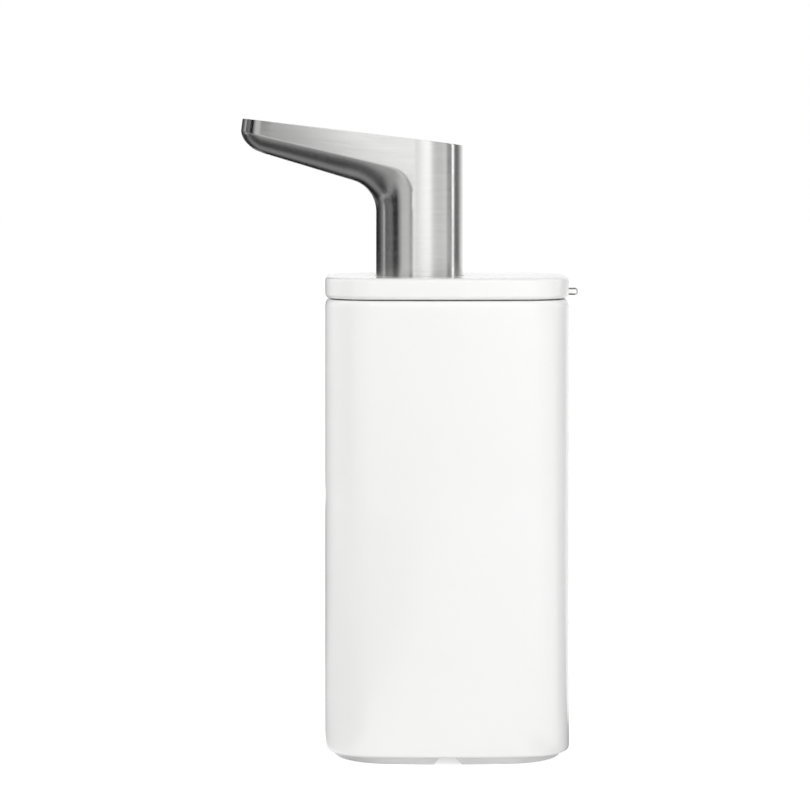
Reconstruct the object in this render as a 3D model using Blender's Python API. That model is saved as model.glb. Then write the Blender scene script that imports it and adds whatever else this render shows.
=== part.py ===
"""Pump soap dispenser: a white sleeve on two foot pads, with a lift-off lid that carries a steel pump spout.

Metres, +Z up. The spout points to -X, the release button to +X. The origin lies under the middle of the
whole object's box, on the surface that it stands on. Body pieces are modelled about the middle of the body,
pump pieces about the axis of the post.
"""

import math

import bmesh
import bpy
from mathutils import Vector

# Clearances and small common values
SEAT_GAP = 0.0003
SLIDE_GAP = 0.0003
OVERRUN = 0.0020
MERGE = 0.000001
SMOOTH_ANGLE = math.radians(35)
MILLIMETRES = 1000

# Body plan: a rounded rectangle whose four sides are crowned
BODY_WIDTH = 0.0726
BODY_DEPTH = 0.0520
FRONT_RADIUS = 0.2140
SIDE_RADIUS = 0.3000
CORNER_RADIUS = 0.0150
FRONT_STEPS = 2
SIDE_STEPS = 2
CORNER_STEPS = 6

# Feet
FOOT_HEIGHT = 0.0023
FOOT_INSET = 0.0016
FOOT_TAPER = 0.0010
FOOT_EDGE = 0.0005
FOOT_CORNER_RADIUS = 0.0200
CHANNEL_TOP = 0.0043
CHANNEL_SLANT = 0.0021

# Outer shell
SHELL_HEIGHT = 0.1331
SHELL_WALL = 0.0012
SHELL_BOTTOM_EDGE = 0.0009
SHOULDER_DEPTH = 0.0013
SHOULDER_HEIGHT = 0.0023
SHELL_LIP = 0.0020
SHELL_FLANGE = 0.0038
EDGE_STEPS = 3

# Base plate and its screws
BASE_THICKNESS = 0.0024
BASE_RIB_WIDTH = 0.0015
SCREW_RADIUS = 0.0015
SCREW_HEAD_RADIUS = 0.0026
SCREW_HEAD_HEIGHT = 0.0011
SCREW_LENGTH = 0.0115
SCREW_SOCKET = 0.0013
SCREW_SOCKET_DEPTH = 0.0007
SCREW_SINK = 0.0002

# Reservoir
TANK_WALL = 0.0016
TANK_FLOOR = 0.0018
TANK_EDGE = 0.0020
SCREW_BOSS_RADIUS = 0.0038
SCREW_BOSS_TOP = 0.0020

# Rim collar in the mouth of the reservoir
COLLAR_FLANGE = 0.0013
COLLAR_INSET = 0.0024
COLLAR_WALL = 0.0014
COLLAR_DEPTH = 0.0122

# Lid cover
LID_THICKNESS = 0.0063
LID_TOP_WALL = 0.0012
LID_SIDE_WALL = 0.0016
LID_BOTTOM_EDGE = 0.0013
LID_TOP_EDGE = 0.0006

# Lid carrier: plate, plug wall and guide well
CARRIER_PLATE = 0.0017
PLUG_DEPTH = 0.0140
PLUG_WALL = 0.0020
SEAL_GROOVE_DEPTH = 0.0011
SEAL_GROOVE_HEIGHT = 0.0022
SEAL_GROOVE_LIFT = 0.0015
WELL_WALL = 0.0015
WELL_FLOOR = 0.0015

# Latch and release button
BUTTON_WIDTH = 0.0090
BUTTON_HEIGHT = 0.0023
BUTTON_PROUD = 0.0029
BUTTON_TRAVEL = 0.0020
BUTTON_EDGE = 0.0007
BUTTON_EAR = 0.0010
BUTTON_EAR_THICKNESS = 0.0008
LATCH_WIDTH = 0.0084
LATCH_THICKNESS = 0.0012
LATCH_LEG = 0.0014
LATCH_BITE = 0.0010
LATCH_NOSE_HEIGHT = 0.0028
LATCH_NOSE_LAND = 0.0010
LATCH_LEG_CLEARANCE = 0.0006
KEEPER_LIP = 0.0013
LATCH_SPRING_LENGTH = 0.0073
LATCH_SPRING_RADIUS = 0.0015
LATCH_SPRING_WIRE = 0.0002
LATCH_SPRING_CURLS = 6
LATCH_SPRING_STAND = 0.0020
LATCH_SPRING_STAND_WIDTH = 0.0050

# Spout head
POST_SHARE = 1 / 2
POST_SHIFT = 0.0021
POST_ENGAGEMENT = 0.0178
POST_WALL = 0.0012
POST_RISE = 0.0471
ARM_REACH = 0.0535
TIP_RADIUS = 0.0070
TIP_SIDE_HEIGHT = 0.00365
NOSE_RUN = 0.0063
NOSE_THICKNESS = 0.0096
ELBOW_RADIUS = 0.0096
CREASE_RADIUS = 0.0083
TOP_SLOPE = math.radians(6.95)
CREASE_SLOPE = math.radians(13.5)
UNDERSIDE_SLOPE = math.radians(16.8)
CREASE_SHARPNESS = 0.5
TOP_EDGE_BREAK = 0.00025
POST_ROOF = 0.0063
TIP_STEPS = 5
ARM_STEPS = 4
ELBOW_STEPS = 12
BAND_STEPS = 6
REAR_STEPS = 8

# Pump inside the lid and the post
STROKE = 0.0100
STROKE_MARGIN = 0.0015
BUSH_WALL = 0.00095
BUSH_LENGTH = 0.0140
BARREL_SHARE = 20 / 33
BARREL_WALL = 0.0014
BARREL_NECK_WALL = 0.0008
BARREL_NECK_LENGTH = 0.0052
BARREL_FLANGE_RADIUS = 0.0120
BARREL_FLANGE = 0.0012
BARREL_FLOOR = 0.0016
BARREL_GASKET = 0.0006
BARREL_GASKET_EDGE = 0.0005
BARREL_CAP_CLEARANCE = 0.00105
BARREL_CAP_TOP = 0.0010
STEM_SHARE = 4 / 7
STEM_BORE = 0.0020
STEM_SOCKET = 0.0100
PISTON_LENGTH = 0.0090
PISTON_LIP = 0.0006
PISTON_WAIST = 0.0012
PISTON_FLOOR = 0.0025
PISTON_PORT = 0.0014
OUTLET_BALL_RADIUS = 0.0022
OUTLET_CHAMBER_RADIUS = 0.0029
OUTLET_CHAMBER_LENGTH = 0.0070
INLET_BALL_RADIUS = 0.0026
INLET_CHAMBER_RADIUS = 0.0034
INLET_CHAMBER_LENGTH = 0.0080
INLET_PORT = 0.0018
INLET_WALL = 0.0016
INLET_SEAT = 0.0016
DIP_TUBE_RADIUS = 0.0032
DIP_TUBE_BORE = 0.0022
DIP_TUBE_SOCKET = 0.0080
DIP_TUBE_CLEARANCE = 0.0040
SPRING_RADIUS = 0.0075
SPRING_WIRE = 0.0005
SPRING_CURLS = 7
CORE_HEADROOM = 0.0070
CORE_LENGTH = 0.0245
CORE_FLANGE = 0.0030
CORE_HUB_RADIUS = 0.0070
CORE_TUBE_SOCKET = 0.0065

# Spout tube and nozzle
SPOUT_TUBE_RADIUS = 0.0023
SPOUT_TUBE_BORE = 0.0015
SPOUT_TUBE_BEND = 0.0070
SPOUT_TUBE_BEND_STEPS = 4
SPOUT_CHANNEL_GAP = 0.0006
NOZZLE_INSET = 0.0056
NOZZLE_RADIUS = 0.0026
NOZZLE_BORE = 0.0011
NOZZLE_NECK_RADIUS = 0.0018

# Facet counts of the round pieces
POST_SIDES = 4 * REAR_STEPS
INNER_SIDES = 24
SMALL_SIDES = 16
SCREW_SIDES = 12
SOCKET_SIDES = 6
TUBE_SIDES = 12
SPRING_POINTS = 10
LATCH_SPRING_POINTS = 8

# Heights worked out from the sizes above
SHELL_BOTTOM = FOOT_HEIGHT
SHELL_TOP = SHELL_BOTTOM + SHELL_HEIGHT
BASE_BOTTOM = FOOT_HEIGHT + SEAT_GAP
BASE_TOP = BASE_BOTTOM + BASE_THICKNESS
FLANGE_BOTTOM = BASE_TOP + SEAT_GAP
FLANGE_TOP = FLANGE_BOTTOM + SHELL_WALL
TANK_BOTTOM = FLANGE_TOP + SEAT_GAP
TANK_INSIDE = TANK_BOTTOM + TANK_FLOOR
COLLAR_BOTTOM = SHELL_TOP + SEAT_GAP
COLLAR_TOP = COLLAR_BOTTOM + COLLAR_FLANGE
LID_BOTTOM = SHELL_TOP + SEAT_GAP
LID_TOP = LID_BOTTOM + LID_THICKNESS
LID_CEILING = LID_TOP - LID_TOP_WALL
CARRIER_TOP = LID_CEILING - SEAT_GAP
CARRIER_UNDERSIDE = CARRIER_TOP - CARRIER_PLATE
PLUG_BOTTOM = CARRIER_UNDERSIDE - PLUG_DEPTH
LATCH_BOTTOM = COLLAR_TOP + SLIDE_GAP
LATCH_TOP = LATCH_BOTTOM + LATCH_THICKNESS
BUTTON_TOP = LATCH_TOP
BUTTON_BOTTOM = BUTTON_TOP - BUTTON_HEIGHT
BUTTON_LEVEL = BUTTON_TOP - BUTTON_HEIGHT / 2
KEEPER_TOP = SHELL_TOP - KEEPER_LIP
NOSE_TOP = KEEPER_TOP - SEAT_GAP
NOSE_BOTTOM = NOSE_TOP - LATCH_NOSE_HEIGHT
KEEPER_BOTTOM = NOSE_BOTTOM - SEAT_GAP
POST_BOTTOM = LID_TOP - POST_ENGAGEMENT
WELL_TOP_OF_FLOOR = POST_BOTTOM - STROKE - STROKE_MARGIN
WELL_UNDERSIDE = WELL_TOP_OF_FLOOR - WELL_FLOOR
NECK_TOP = WELL_UNDERSIDE - SEAT_GAP + BARREL_NECK_LENGTH
CAP_BOTTOM = WELL_TOP_OF_FLOOR + SEAT_GAP
CAP_CEILING = NECK_TOP + SEAT_GAP
CAP_TOP = CAP_CEILING + BARREL_CAP_TOP
PISTON_TOP = CAP_CEILING - SEAT_GAP
PISTON_BOTTOM = PISTON_TOP - PISTON_LENGTH
BARREL_INSIDE = PISTON_BOTTOM - STROKE - STROKE_MARGIN
GASKET_TOP = WELL_UNDERSIDE - SEAT_GAP
BARREL_FLANGE_TOP = GASKET_TOP - BARREL_GASKET - SEAT_GAP
INLET_CEILING = BARREL_INSIDE - BARREL_FLOOR
INLET_SEAT_TOP = INLET_CEILING - INLET_CHAMBER_LENGTH
INLET_SEAT_BOTTOM = INLET_SEAT_TOP - INLET_SEAT
STEM_BOTTOM = PISTON_BOTTOM + PISTON_FLOOR + SEAT_GAP
POST_RADIUS = POST_SHARE * BODY_DEPTH / 2
SPOUT_REAR_TOP = LID_TOP + POST_RISE - (ARM_REACH + POST_RADIUS) * math.tan(TOP_SLOPE)
POST_BORE_TOP = SPOUT_REAR_TOP - POST_ROOF
CORE_TOP = POST_BORE_TOP - CORE_HEADROOM
CORE_BOTTOM = CORE_TOP - CORE_LENGTH
STEM_TOP = CORE_BOTTOM + STEM_SOCKET

# Insets of the body plan, measured inward from the outside of the body
SHELL_INSIDE = SHELL_WALL
LIP_INSET = SHELL_WALL + SHELL_LIP
FLANGE_INSET = SHELL_WALL + SHELL_FLANGE
TANK_OUTSIDE = LIP_INSET + SEAT_GAP
TANK_INSET = TANK_OUTSIDE + TANK_WALL
COLLAR_OUTSIDE = TANK_INSET + SEAT_GAP
COLLAR_INSIDE = COLLAR_OUTSIDE + COLLAR_WALL
PLUG_OUTSIDE = COLLAR_INSIDE + SLIDE_GAP
PLUG_INSIDE = PLUG_OUTSIDE + PLUG_WALL
CARRIER_INSET = LID_SIDE_WALL + SEAT_GAP

# Radii of the pump
POST_BORE = POST_RADIUS - POST_WALL
BARREL_CAP_RADIUS = POST_BORE - BARREL_CAP_CLEARANCE
BARREL_BORE = BARREL_SHARE * POST_BORE
STEM_RADIUS = STEM_SHARE * BARREL_BORE
BUSH_INSIDE = POST_RADIUS + SLIDE_GAP
BUSH_OUTSIDE = BUSH_INSIDE + BUSH_WALL
WELL_INSIDE = BUSH_OUTSIDE + SEAT_GAP
WELL_OUTSIDE = WELL_INSIDE + WELL_WALL
NECK_RADIUS = BARREL_BORE + BARREL_NECK_WALL
CORE_RADIUS = POST_BORE - SEAT_GAP
SPOUT_CHANNEL_RADIUS = SPOUT_TUBE_RADIUS + SPOUT_CHANNEL_GAP

# Places along X: the post stands forward of the body's middle, the well clear of the seal's groove
SIDE_ROOM = BODY_WIDTH / 2 - PLUG_OUTSIDE - SEAL_GROOVE_DEPTH - WELL_OUTSIDE
POST_OFFSET = SIDE_ROOM / 2 + POST_SHIFT
SPOUT_REACH = POST_OFFSET + ARM_REACH
BUTTON_END = BODY_WIDTH / 2 + BUTTON_PROUD
BODY_X = (SPOUT_REACH - BUTTON_END) / 2
POST_X = BODY_X - POST_OFFSET
BUTTON_INNER = BODY_WIDTH / 2 - CARRIER_INSET - BUTTON_EAR_THICKNESS
LATCH_LEG_OUTER = BODY_WIDTH / 2 - PLUG_INSIDE - LATCH_LEG_CLEARANCE
LATCH_LEG_INNER = LATCH_LEG_OUTER - LATCH_LEG
LATCH_NOSE_END = BODY_WIDTH / 2 - COLLAR_INSIDE + LATCH_BITE

# Finishes: base colour, roughness, metallic
FINISHES = {
    "white_coat": ((0.88, 0.88, 0.87), 0.22, 0.0),
    "brushed_steel": ((0.60, 0.60, 0.59), 0.30, 1.0),
    "polished_steel": ((0.72, 0.72, 0.71), 0.12, 1.0),
    "spring_steel": ((0.55, 0.56, 0.57), 0.25, 1.0),
    "grey_silicone": ((0.62, 0.62, 0.63), 0.60, 0.0),
    "seal_silicone": ((0.35, 0.37, 0.40), 0.55, 0.0),
    "white_plastic": ((0.80, 0.80, 0.79), 0.40, 0.0),
    "clear_plastic": ((0.78, 0.82, 0.84), 0.18, 0.0),
    "dark_plastic": ((0.08, 0.08, 0.09), 0.45, 0.0),
}


# Scene and object helpers

def clear_scene():
    """Remove every object that the file starts with."""
    for item in list(bpy.data.objects):
        bpy.data.objects.remove(item, do_unlink=True)


def finish_material(node_name, finish):
    """Make the node's own Principled material from one of the finishes."""
    colour, roughness, metallic = FINISHES[finish]
    material = bpy.data.materials.new(node_name + "_finish")
    material.use_nodes = True
    shader = material.node_tree.nodes["Principled BSDF"]
    shader.inputs["Base Color"].default_value = (*colour, 1.0)
    shader.inputs["Roughness"].default_value = roughness
    shader.inputs["Metallic"].default_value = metallic
    return material


def add_axis(name, place, parent=None):
    """Add an empty on a joint's axis, to carry what moves on it."""
    axis = bpy.data.objects.new(name, None)
    bpy.context.collection.objects.link(axis)
    axis["world_place"] = place
    axis.parent = parent
    offset = Vector(parent["world_place"]) if parent else Vector()
    axis.location = Vector(place) - offset
    return axis


def place_object(item, place, parent):
    """Put an object at a place of the world, carried by its parent."""
    bpy.context.collection.objects.link(item)
    item.parent = parent
    offset = Vector(parent["world_place"]) if parent else Vector()
    item.location = Vector(place) - offset


def mesh_object(name, bm, place, parent, finish):
    """Turn a bmesh into a named node with its own material."""
    bmesh.ops.recalc_face_normals(bm, faces=bm.faces)
    mesh = bpy.data.meshes.new(name)
    bm.to_mesh(mesh)
    bm.free()
    mesh.shade_smooth()
    mesh.set_sharp_from_angle(angle=SMOOTH_ANGLE)
    mesh.materials.append(finish_material(name, finish))
    node = bpy.data.objects.new(name, mesh)
    place_object(node, place, parent)
    return node


def cutter_object(name, bm, place, parent):
    """Turn a bmesh into a hidden guide for a Boolean."""
    bmesh.ops.recalc_face_normals(bm, faces=bm.faces)
    mesh = bpy.data.meshes.new(name)
    bm.to_mesh(mesh)
    bm.free()
    cutter = bpy.data.objects.new(name, mesh)
    place_object(cutter, place, parent)
    cutter.hide_render = True
    cutter.display_type = "WIRE"
    return cutter


def combine(node, tool, operation):
    """Add an exact Boolean of the node with a guide."""
    boolean = node.modifiers.new(tool.name, "BOOLEAN")
    boolean.object = tool
    boolean.operation = operation
    boolean.solver = "EXACT"


# Shape helpers

def arc(centre_a, centre_b, radius, start, end, steps):
    """Points of an arc in a plane, from one angle in degrees to another."""
    points = []
    for step in range(steps + 1):
        angle = math.radians(start + (end - start) * step / steps)
        points.append((centre_a + radius * math.cos(angle), centre_b + radius * math.sin(angle)))
    return points


def corner_centre(corner=CORNER_RADIUS):
    """Centre of the corner arc, which touches the front arc and the side arc from inside."""
    front = FRONT_RADIUS - corner
    side = SIDE_RADIUS - corner
    front_y = BODY_DEPTH / 2 - FRONT_RADIUS
    side_x = BODY_WIDTH / 2 - SIDE_RADIUS
    distance = math.hypot(side_x, front_y)
    along = (front ** 2 - side ** 2 + distance ** 2) / (2 * distance)
    across = math.sqrt(front ** 2 - along ** 2)
    toward_x = side_x / distance
    toward_y = -front_y / distance
    return along * toward_x + across * toward_y, front_y + along * toward_y - across * toward_x


def body_outline(inset, corner=CORNER_RADIUS):
    """The body's plan, moved inward by the inset: crowned sides joined by corner arcs."""
    centre_x, centre_y = corner_centre(corner)
    side_x = BODY_WIDTH / 2 - SIDE_RADIUS
    front_y = BODY_DEPTH / 2 - FRONT_RADIUS
    side_end = math.degrees(math.atan2(centre_y, centre_x - side_x))
    front_end = math.degrees(math.atan2(centre_y - front_y, centre_x))
    quarter = arc(side_x, 0, SIDE_RADIUS - inset, 0, side_end, SIDE_STEPS)
    quarter += arc(centre_x, centre_y, corner - inset, side_end, front_end, CORNER_STEPS)[1:]
    quarter += arc(0, front_y, FRONT_RADIUS - inset, front_end, 90, FRONT_STEPS)[1:]
    left = [(-x, y) for x, y in reversed(quarter[:-1])]
    half = quarter + left
    lower = [(x, -y) for x, y in reversed(half[1:-1])]
    return half + lower


def add_loop(bm, points):
    """Add the corners of a closed loop."""
    return [bm.verts.new(point) for point in points]


def join_loops(bm, first, second):
    """Close the band between two loops of as many corners, corner to corner."""
    for index in range(len(first)):
        bm.faces.new((first[index - 1], first[index], second[index], second[index - 1]))


def loft_body(profile, closed, corner=CORNER_RADIUS):
    """Loft the body plan through pairs of inset and height, as a ring or with a flat face at both ends."""
    bm = bmesh.new()
    loops = [add_loop(bm, [(x, y, z) for x, y in body_outline(inset, corner)]) for inset, z in profile]
    for lower, upper in zip(loops, loops[1:]):
        join_loops(bm, lower, upper)
    if closed:
        join_loops(bm, loops[-1], loops[0])
    else:
        bm.faces.new(loops[0])
        bm.faces.new(loops[-1])
    return bm


def turn(profile, sides, closed=True):
    """Turn pairs of radius and height about Z; an open profile starts and ends on the axis."""
    bm = bmesh.new()
    verts = [bm.verts.new((radius, 0, z)) for radius, z in profile]
    edges = [bm.edges.new(pair) for pair in zip(verts, verts[1:])]
    if closed:
        edges.append(bm.edges.new((verts[-1], verts[0])))
    bmesh.ops.spin(bm, geom=verts + edges, cent=(0, 0, 0), axis=(0, 0, 1), angle=math.tau, steps=sides)
    bmesh.ops.remove_doubles(bm, verts=bm.verts, dist=MERGE)
    return bm


def cylinder(radius, bottom, top, sides):
    """An upright solid cylinder about the axis of the object."""
    return turn([(0, bottom), (radius, bottom), (radius, top), (0, top)], sides, closed=False)


def ring(inner, outer, bottom, top, sides):
    """A plain turned ring."""
    return turn([(inner, bottom), (outer, bottom), (outer, top), (inner, top)], sides)


def box(x_span, y_span, z_span):
    """A solid box between pairs of limits."""
    bm = bmesh.new()
    spans = (x_span, y_span, z_span)
    bmesh.ops.create_cube(bm, size=1)
    bmesh.ops.scale(bm, verts=bm.verts, vec=[high - low for low, high in spans])
    bmesh.ops.translate(bm, verts=bm.verts, vec=[(low + high) / 2 for low, high in spans])
    return bm


def extrude(points, path):
    """Extrude a flat outline along a vector."""
    bm = bmesh.new()
    face = bm.faces.new([bm.verts.new(point) for point in points])
    moved = bmesh.ops.extrude_face_region(bm, geom=[face])["geom"]
    bmesh.ops.translate(bm, verts=[part for part in moved if isinstance(part, bmesh.types.BMVert)], vec=path)
    return bm


def pill(width, bottom, top, steps):
    """Outline of a flat pill lying across Y."""
    radius = (top - bottom) / 2
    centre = (top + bottom) / 2
    right = arc(width / 2 - radius, centre, radius, -90, 90, steps)
    return right + [(-y, z) for y, z in reversed(right)]


def hollow_tube(path, outer, inner, sides):
    """A tube with a bore along a path that lies in the XZ plane."""
    bm = bmesh.new()
    skins = ([], [])
    for index, point in enumerate(path):
        before = path[max(index - 1, 0)]
        after = path[min(index + 1, len(path) - 1)]
        along = (Vector(after) - Vector(before)).normalized()
        across = Vector((0, 1, 0))
        normal = along.cross(across)
        for skin, radius in zip(skins, (outer, inner)):
            loop = []
            for side in range(sides):
                angle = math.tau * side / sides
                loop.append(Vector(point) + radius * (math.cos(angle) * normal + math.sin(angle) * across))
            skin.append(add_loop(bm, loop))
    for skin in skins:
        for first, second in zip(skin, skin[1:]):
            join_loops(bm, first, second)
    for end in (0, -1):
        join_loops(bm, skins[0][end], skins[1][end])
    return bm


def helix_points(radius, start, end, wire, curls, points_per_curl):
    """Centre line of a spring along Z, with each end straight for a wire's diameter."""
    count = curls * points_per_curl
    climb_start = start + wire
    climb_end = end - wire
    points = []
    for step in range(count + 1):
        angle = math.tau * step / points_per_curl
        z = climb_start + (climb_end - climb_start) * step / count
        points.append(Vector((radius * math.cos(angle), radius * math.sin(angle), z)))
    first_run = (points[0] - points[1]).normalized() * (2 * wire)
    last_run = (points[-1] - points[-2]).normalized() * (2 * wire)
    first_run.z = 0
    last_run.z = 0
    return [points[0] + first_run] + points + [points[-1] + last_run]


def spring_object(name, points, wire, points_per_curl, place, parent):
    """A wire along the points, as one unbroken tube with flat ends."""
    curve = bpy.data.curves.new(name, "CURVE")
    curve.dimensions = "3D"
    curve.bevel_depth = wire
    curve.bevel_resolution = 1
    curve.use_fill_caps = True
    spline = curve.splines.new("POLY")
    spline.points.add(len(points) - 1)
    for target, point in zip(spline.points, points):
        target.co = (*point, 1)
    curve.materials.append(finish_material(name, "spring_steel"))
    spring = bpy.data.objects.new(name, curve)
    place_object(spring, place, parent)
    gap = least_gap(points, points_per_curl) - 2 * wire
    print(f"{name}: least gap between curls {gap * MILLIMETRES:.2f} mm")
    return spring


def least_gap(points, points_per_curl):
    """Least distance between the centre lines of neighbouring curls."""
    return min(
        (points[i] - points[j]).length
        for i in range(len(points))
        for j in range(i + points_per_curl // 2 + 1, len(points))
    )


# Body

def make_outer_shell():
    """White sleeve with a rounded shoulder, an inward lip on top and a flange near the bottom."""
    bottom_edge = SHELL_BOTTOM_EDGE
    profile = arc(bottom_edge, SHELL_BOTTOM + bottom_edge, bottom_edge, 270, 180, EDGE_STEPS)
    profile += [(SHOULDER_DEPTH * (1 + across), SHELL_TOP - SHOULDER_HEIGHT * (1 - up))
                for across, up in arc(0, 0, 1, 180, 90, EDGE_STEPS)]
    profile += [
        (LIP_INSET, SHELL_TOP),
        (LIP_INSET, SHELL_TOP - SHELL_WALL),
        (SHELL_INSIDE, SHELL_TOP - SHELL_WALL),
        (SHELL_INSIDE, FLANGE_TOP),
        (FLANGE_INSET, FLANGE_TOP),
        (FLANGE_INSET, FLANGE_BOTTOM),
        (SHELL_INSIDE, FLANGE_BOTTOM),
        (SHELL_INSIDE, SHELL_BOTTOM),
    ]
    mesh_object("outer_shell", loft_body(profile, True), (BODY_X, 0, 0), None, "white_coat")


def screw_places():
    """Places of the four base screws, about the middle of the body."""
    centre_x, centre_y = corner_centre()
    return [(side_x * centre_x, side_y * centre_y) for side_x in (-1, 1) for side_y in (-1, 1)]


def make_base_plate():
    """Plate that closes the shell from below, with a rib that centres it in the flange."""
    rib_outside = FLANGE_INSET + SEAT_GAP
    rib_inside = rib_outside + BASE_RIB_WIDTH
    outside = SHELL_INSIDE + SEAT_GAP
    profile = [
        (outside, BASE_BOTTOM),
        (outside, BASE_TOP),
        (rib_outside, BASE_TOP),
        (rib_outside, FLANGE_TOP),
        (rib_inside, FLANGE_TOP),
        (rib_inside, BASE_TOP),
    ]
    plate = mesh_object("base_plate", loft_body(profile, False), (BODY_X, 0, 0), None, "white_plastic")
    hole = SCREW_RADIUS + SEAT_GAP
    recess = SCREW_HEAD_RADIUS + SEAT_GAP
    step = BASE_BOTTOM + SCREW_SINK + SCREW_HEAD_HEIGHT + SEAT_GAP
    outline = [
        (0, BASE_BOTTOM - OVERRUN),
        (recess, BASE_BOTTOM - OVERRUN),
        (recess, step),
        (hole, step),
        (hole, BASE_TOP + OVERRUN),
        (0, BASE_TOP + OVERRUN),
    ]
    for number, (x, y) in enumerate(screw_places(), 1):
        drill = turn(outline, SCREW_SIDES, closed=False)
        combine(plate, cutter_object(f"base_hole_{number}", drill, (BODY_X + x, y, 0), None), "DIFFERENCE")


def make_base_screws():
    """Four screws from below through the base plate into the reservoir."""
    head_bottom = BASE_BOTTOM + SCREW_SINK
    head_top = head_bottom + SCREW_HEAD_HEIGHT
    socket_top = head_bottom + SCREW_SOCKET_DEPTH
    outline = [
        (0, head_bottom),
        (SCREW_HEAD_RADIUS, head_bottom),
        (SCREW_HEAD_RADIUS, head_top),
        (SCREW_RADIUS, head_top),
        (SCREW_RADIUS, head_top + SCREW_LENGTH - SCREW_RADIUS),
        (0, head_top + SCREW_LENGTH),
    ]
    for number, (x, y) in enumerate(screw_places(), 1):
        place = (BODY_X + x, y, 0)
        solid = turn(outline, SCREW_SIDES, closed=False)
        screw = mesh_object(f"base_screw_{number}", solid, place, None, "spring_steel")
        socket = cylinder(SCREW_SOCKET, head_bottom - OVERRUN, socket_top, SOCKET_SIDES)
        combine(screw, cutter_object(f"screw_socket_{number}", socket, place, None), "DIFFERENCE")


def make_reservoir():
    """Inner tank, open on top, with four blind bosses for the base screws."""
    bottom = arc(TANK_OUTSIDE + TANK_EDGE, TANK_BOTTOM + TANK_EDGE, TANK_EDGE, 270, 180, EDGE_STEPS)
    inside = arc(TANK_INSET + TANK_EDGE, TANK_INSIDE + TANK_EDGE, TANK_EDGE, 180, 270, EDGE_STEPS)
    profile = bottom + [(TANK_OUTSIDE, SHELL_TOP), (TANK_INSET, SHELL_TOP)] + inside
    tank = mesh_object("reservoir", loft_body(profile, False), (BODY_X, 0, 0), None, "clear_plastic")
    screw_end = BASE_BOTTOM + SCREW_SINK + SCREW_HEAD_HEIGHT + SCREW_LENGTH
    hole_top = screw_end + SEAT_GAP
    hole = SCREW_RADIUS + SEAT_GAP
    boss_bottom = TANK_BOTTOM + TANK_FLOOR / 2
    for number, (x, y) in enumerate(screw_places(), 1):
        place = (BODY_X + x, y, 0)
        boss = cylinder(SCREW_BOSS_RADIUS, boss_bottom, hole_top + SCREW_BOSS_TOP, SMALL_SIDES)
        combine(tank, cutter_object(f"tank_boss_{number}", boss, place, None), "UNION")
        drill = cylinder(hole, TANK_BOTTOM - OVERRUN, hole_top, SCREW_SIDES)
        combine(tank, cutter_object(f"tank_hole_{number}", drill, place, None), "DIFFERENCE")


def make_rim_collar():
    """Collar that lines the mouth of the reservoir, with the keeper window of the latch."""
    wall_bottom = COLLAR_BOTTOM - COLLAR_DEPTH
    profile = [
        (COLLAR_INSET, COLLAR_BOTTOM),
        (COLLAR_INSET, COLLAR_TOP),
        (COLLAR_INSIDE, COLLAR_TOP),
        (COLLAR_INSIDE, wall_bottom),
        (COLLAR_OUTSIDE, wall_bottom),
        (COLLAR_OUTSIDE, COLLAR_BOTTOM),
    ]
    collar = mesh_object("rim_collar", loft_body(profile, True), (BODY_X, 0, 0), None, "white_plastic")
    half_latch = LATCH_WIDTH / 2 + SLIDE_GAP
    wall_x = BODY_WIDTH / 2 - COLLAR_INSIDE
    window = box(
        (wall_x - OVERRUN, wall_x + COLLAR_WALL + OVERRUN),
        (-half_latch, half_latch),
        (KEEPER_BOTTOM, KEEPER_TOP),
    )
    combine(collar, cutter_object("keeper_window", window, (BODY_X, 0, 0), None), "DIFFERENCE")
    half_button = BUTTON_WIDTH / 2 + BUTTON_EAR + SLIDE_GAP
    notch = box(
        (BUTTON_INNER - BUTTON_TRAVEL - SLIDE_GAP, BODY_WIDTH / 2),
        (-half_button, half_button),
        (COLLAR_BOTTOM - COLLAR_FLANGE, COLLAR_TOP + OVERRUN),
    )
    combine(collar, cutter_object("button_notch", notch, (BODY_X, 0, 0), None), "DIFFERENCE")


def make_feet():
    """Two tapered pads, cut from one outline by a slanted channel between them."""
    profile = [
        (FOOT_INSET + FOOT_TAPER + FOOT_EDGE, 0),
        (FOOT_INSET + FOOT_TAPER, FOOT_EDGE),
        (FOOT_INSET, FOOT_HEIGHT),
    ]
    top = CHANNEL_TOP / 2
    bottom = top + CHANNEL_SLANT
    past = BODY_WIDTH / 2 + OVERRUN
    slope = CHANNEL_SLANT / FOOT_HEIGHT
    below = bottom + OVERRUN * slope
    above = top - OVERRUN * slope
    for name, side in (("foot_left", -1), ("foot_right", 1)):
        pad = loft_body(profile, False, FOOT_CORNER_RADIUS)
        foot = mesh_object(name, pad, (BODY_X, 0, 0), None, "grey_silicone")
        corners = [
            (side * below, -OVERRUN),
            (side * above, FOOT_HEIGHT + OVERRUN),
            (-side * past, FOOT_HEIGHT + OVERRUN),
            (-side * past, -OVERRUN),
        ]
        away = extrude([(x, -BODY_DEPTH, z) for x, z in corners], (0, 2 * BODY_DEPTH, 0))
        combine(foot, cutter_object(name + "_cut", away, (BODY_X, 0, 0), None), "DIFFERENCE")


# Lid

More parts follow.
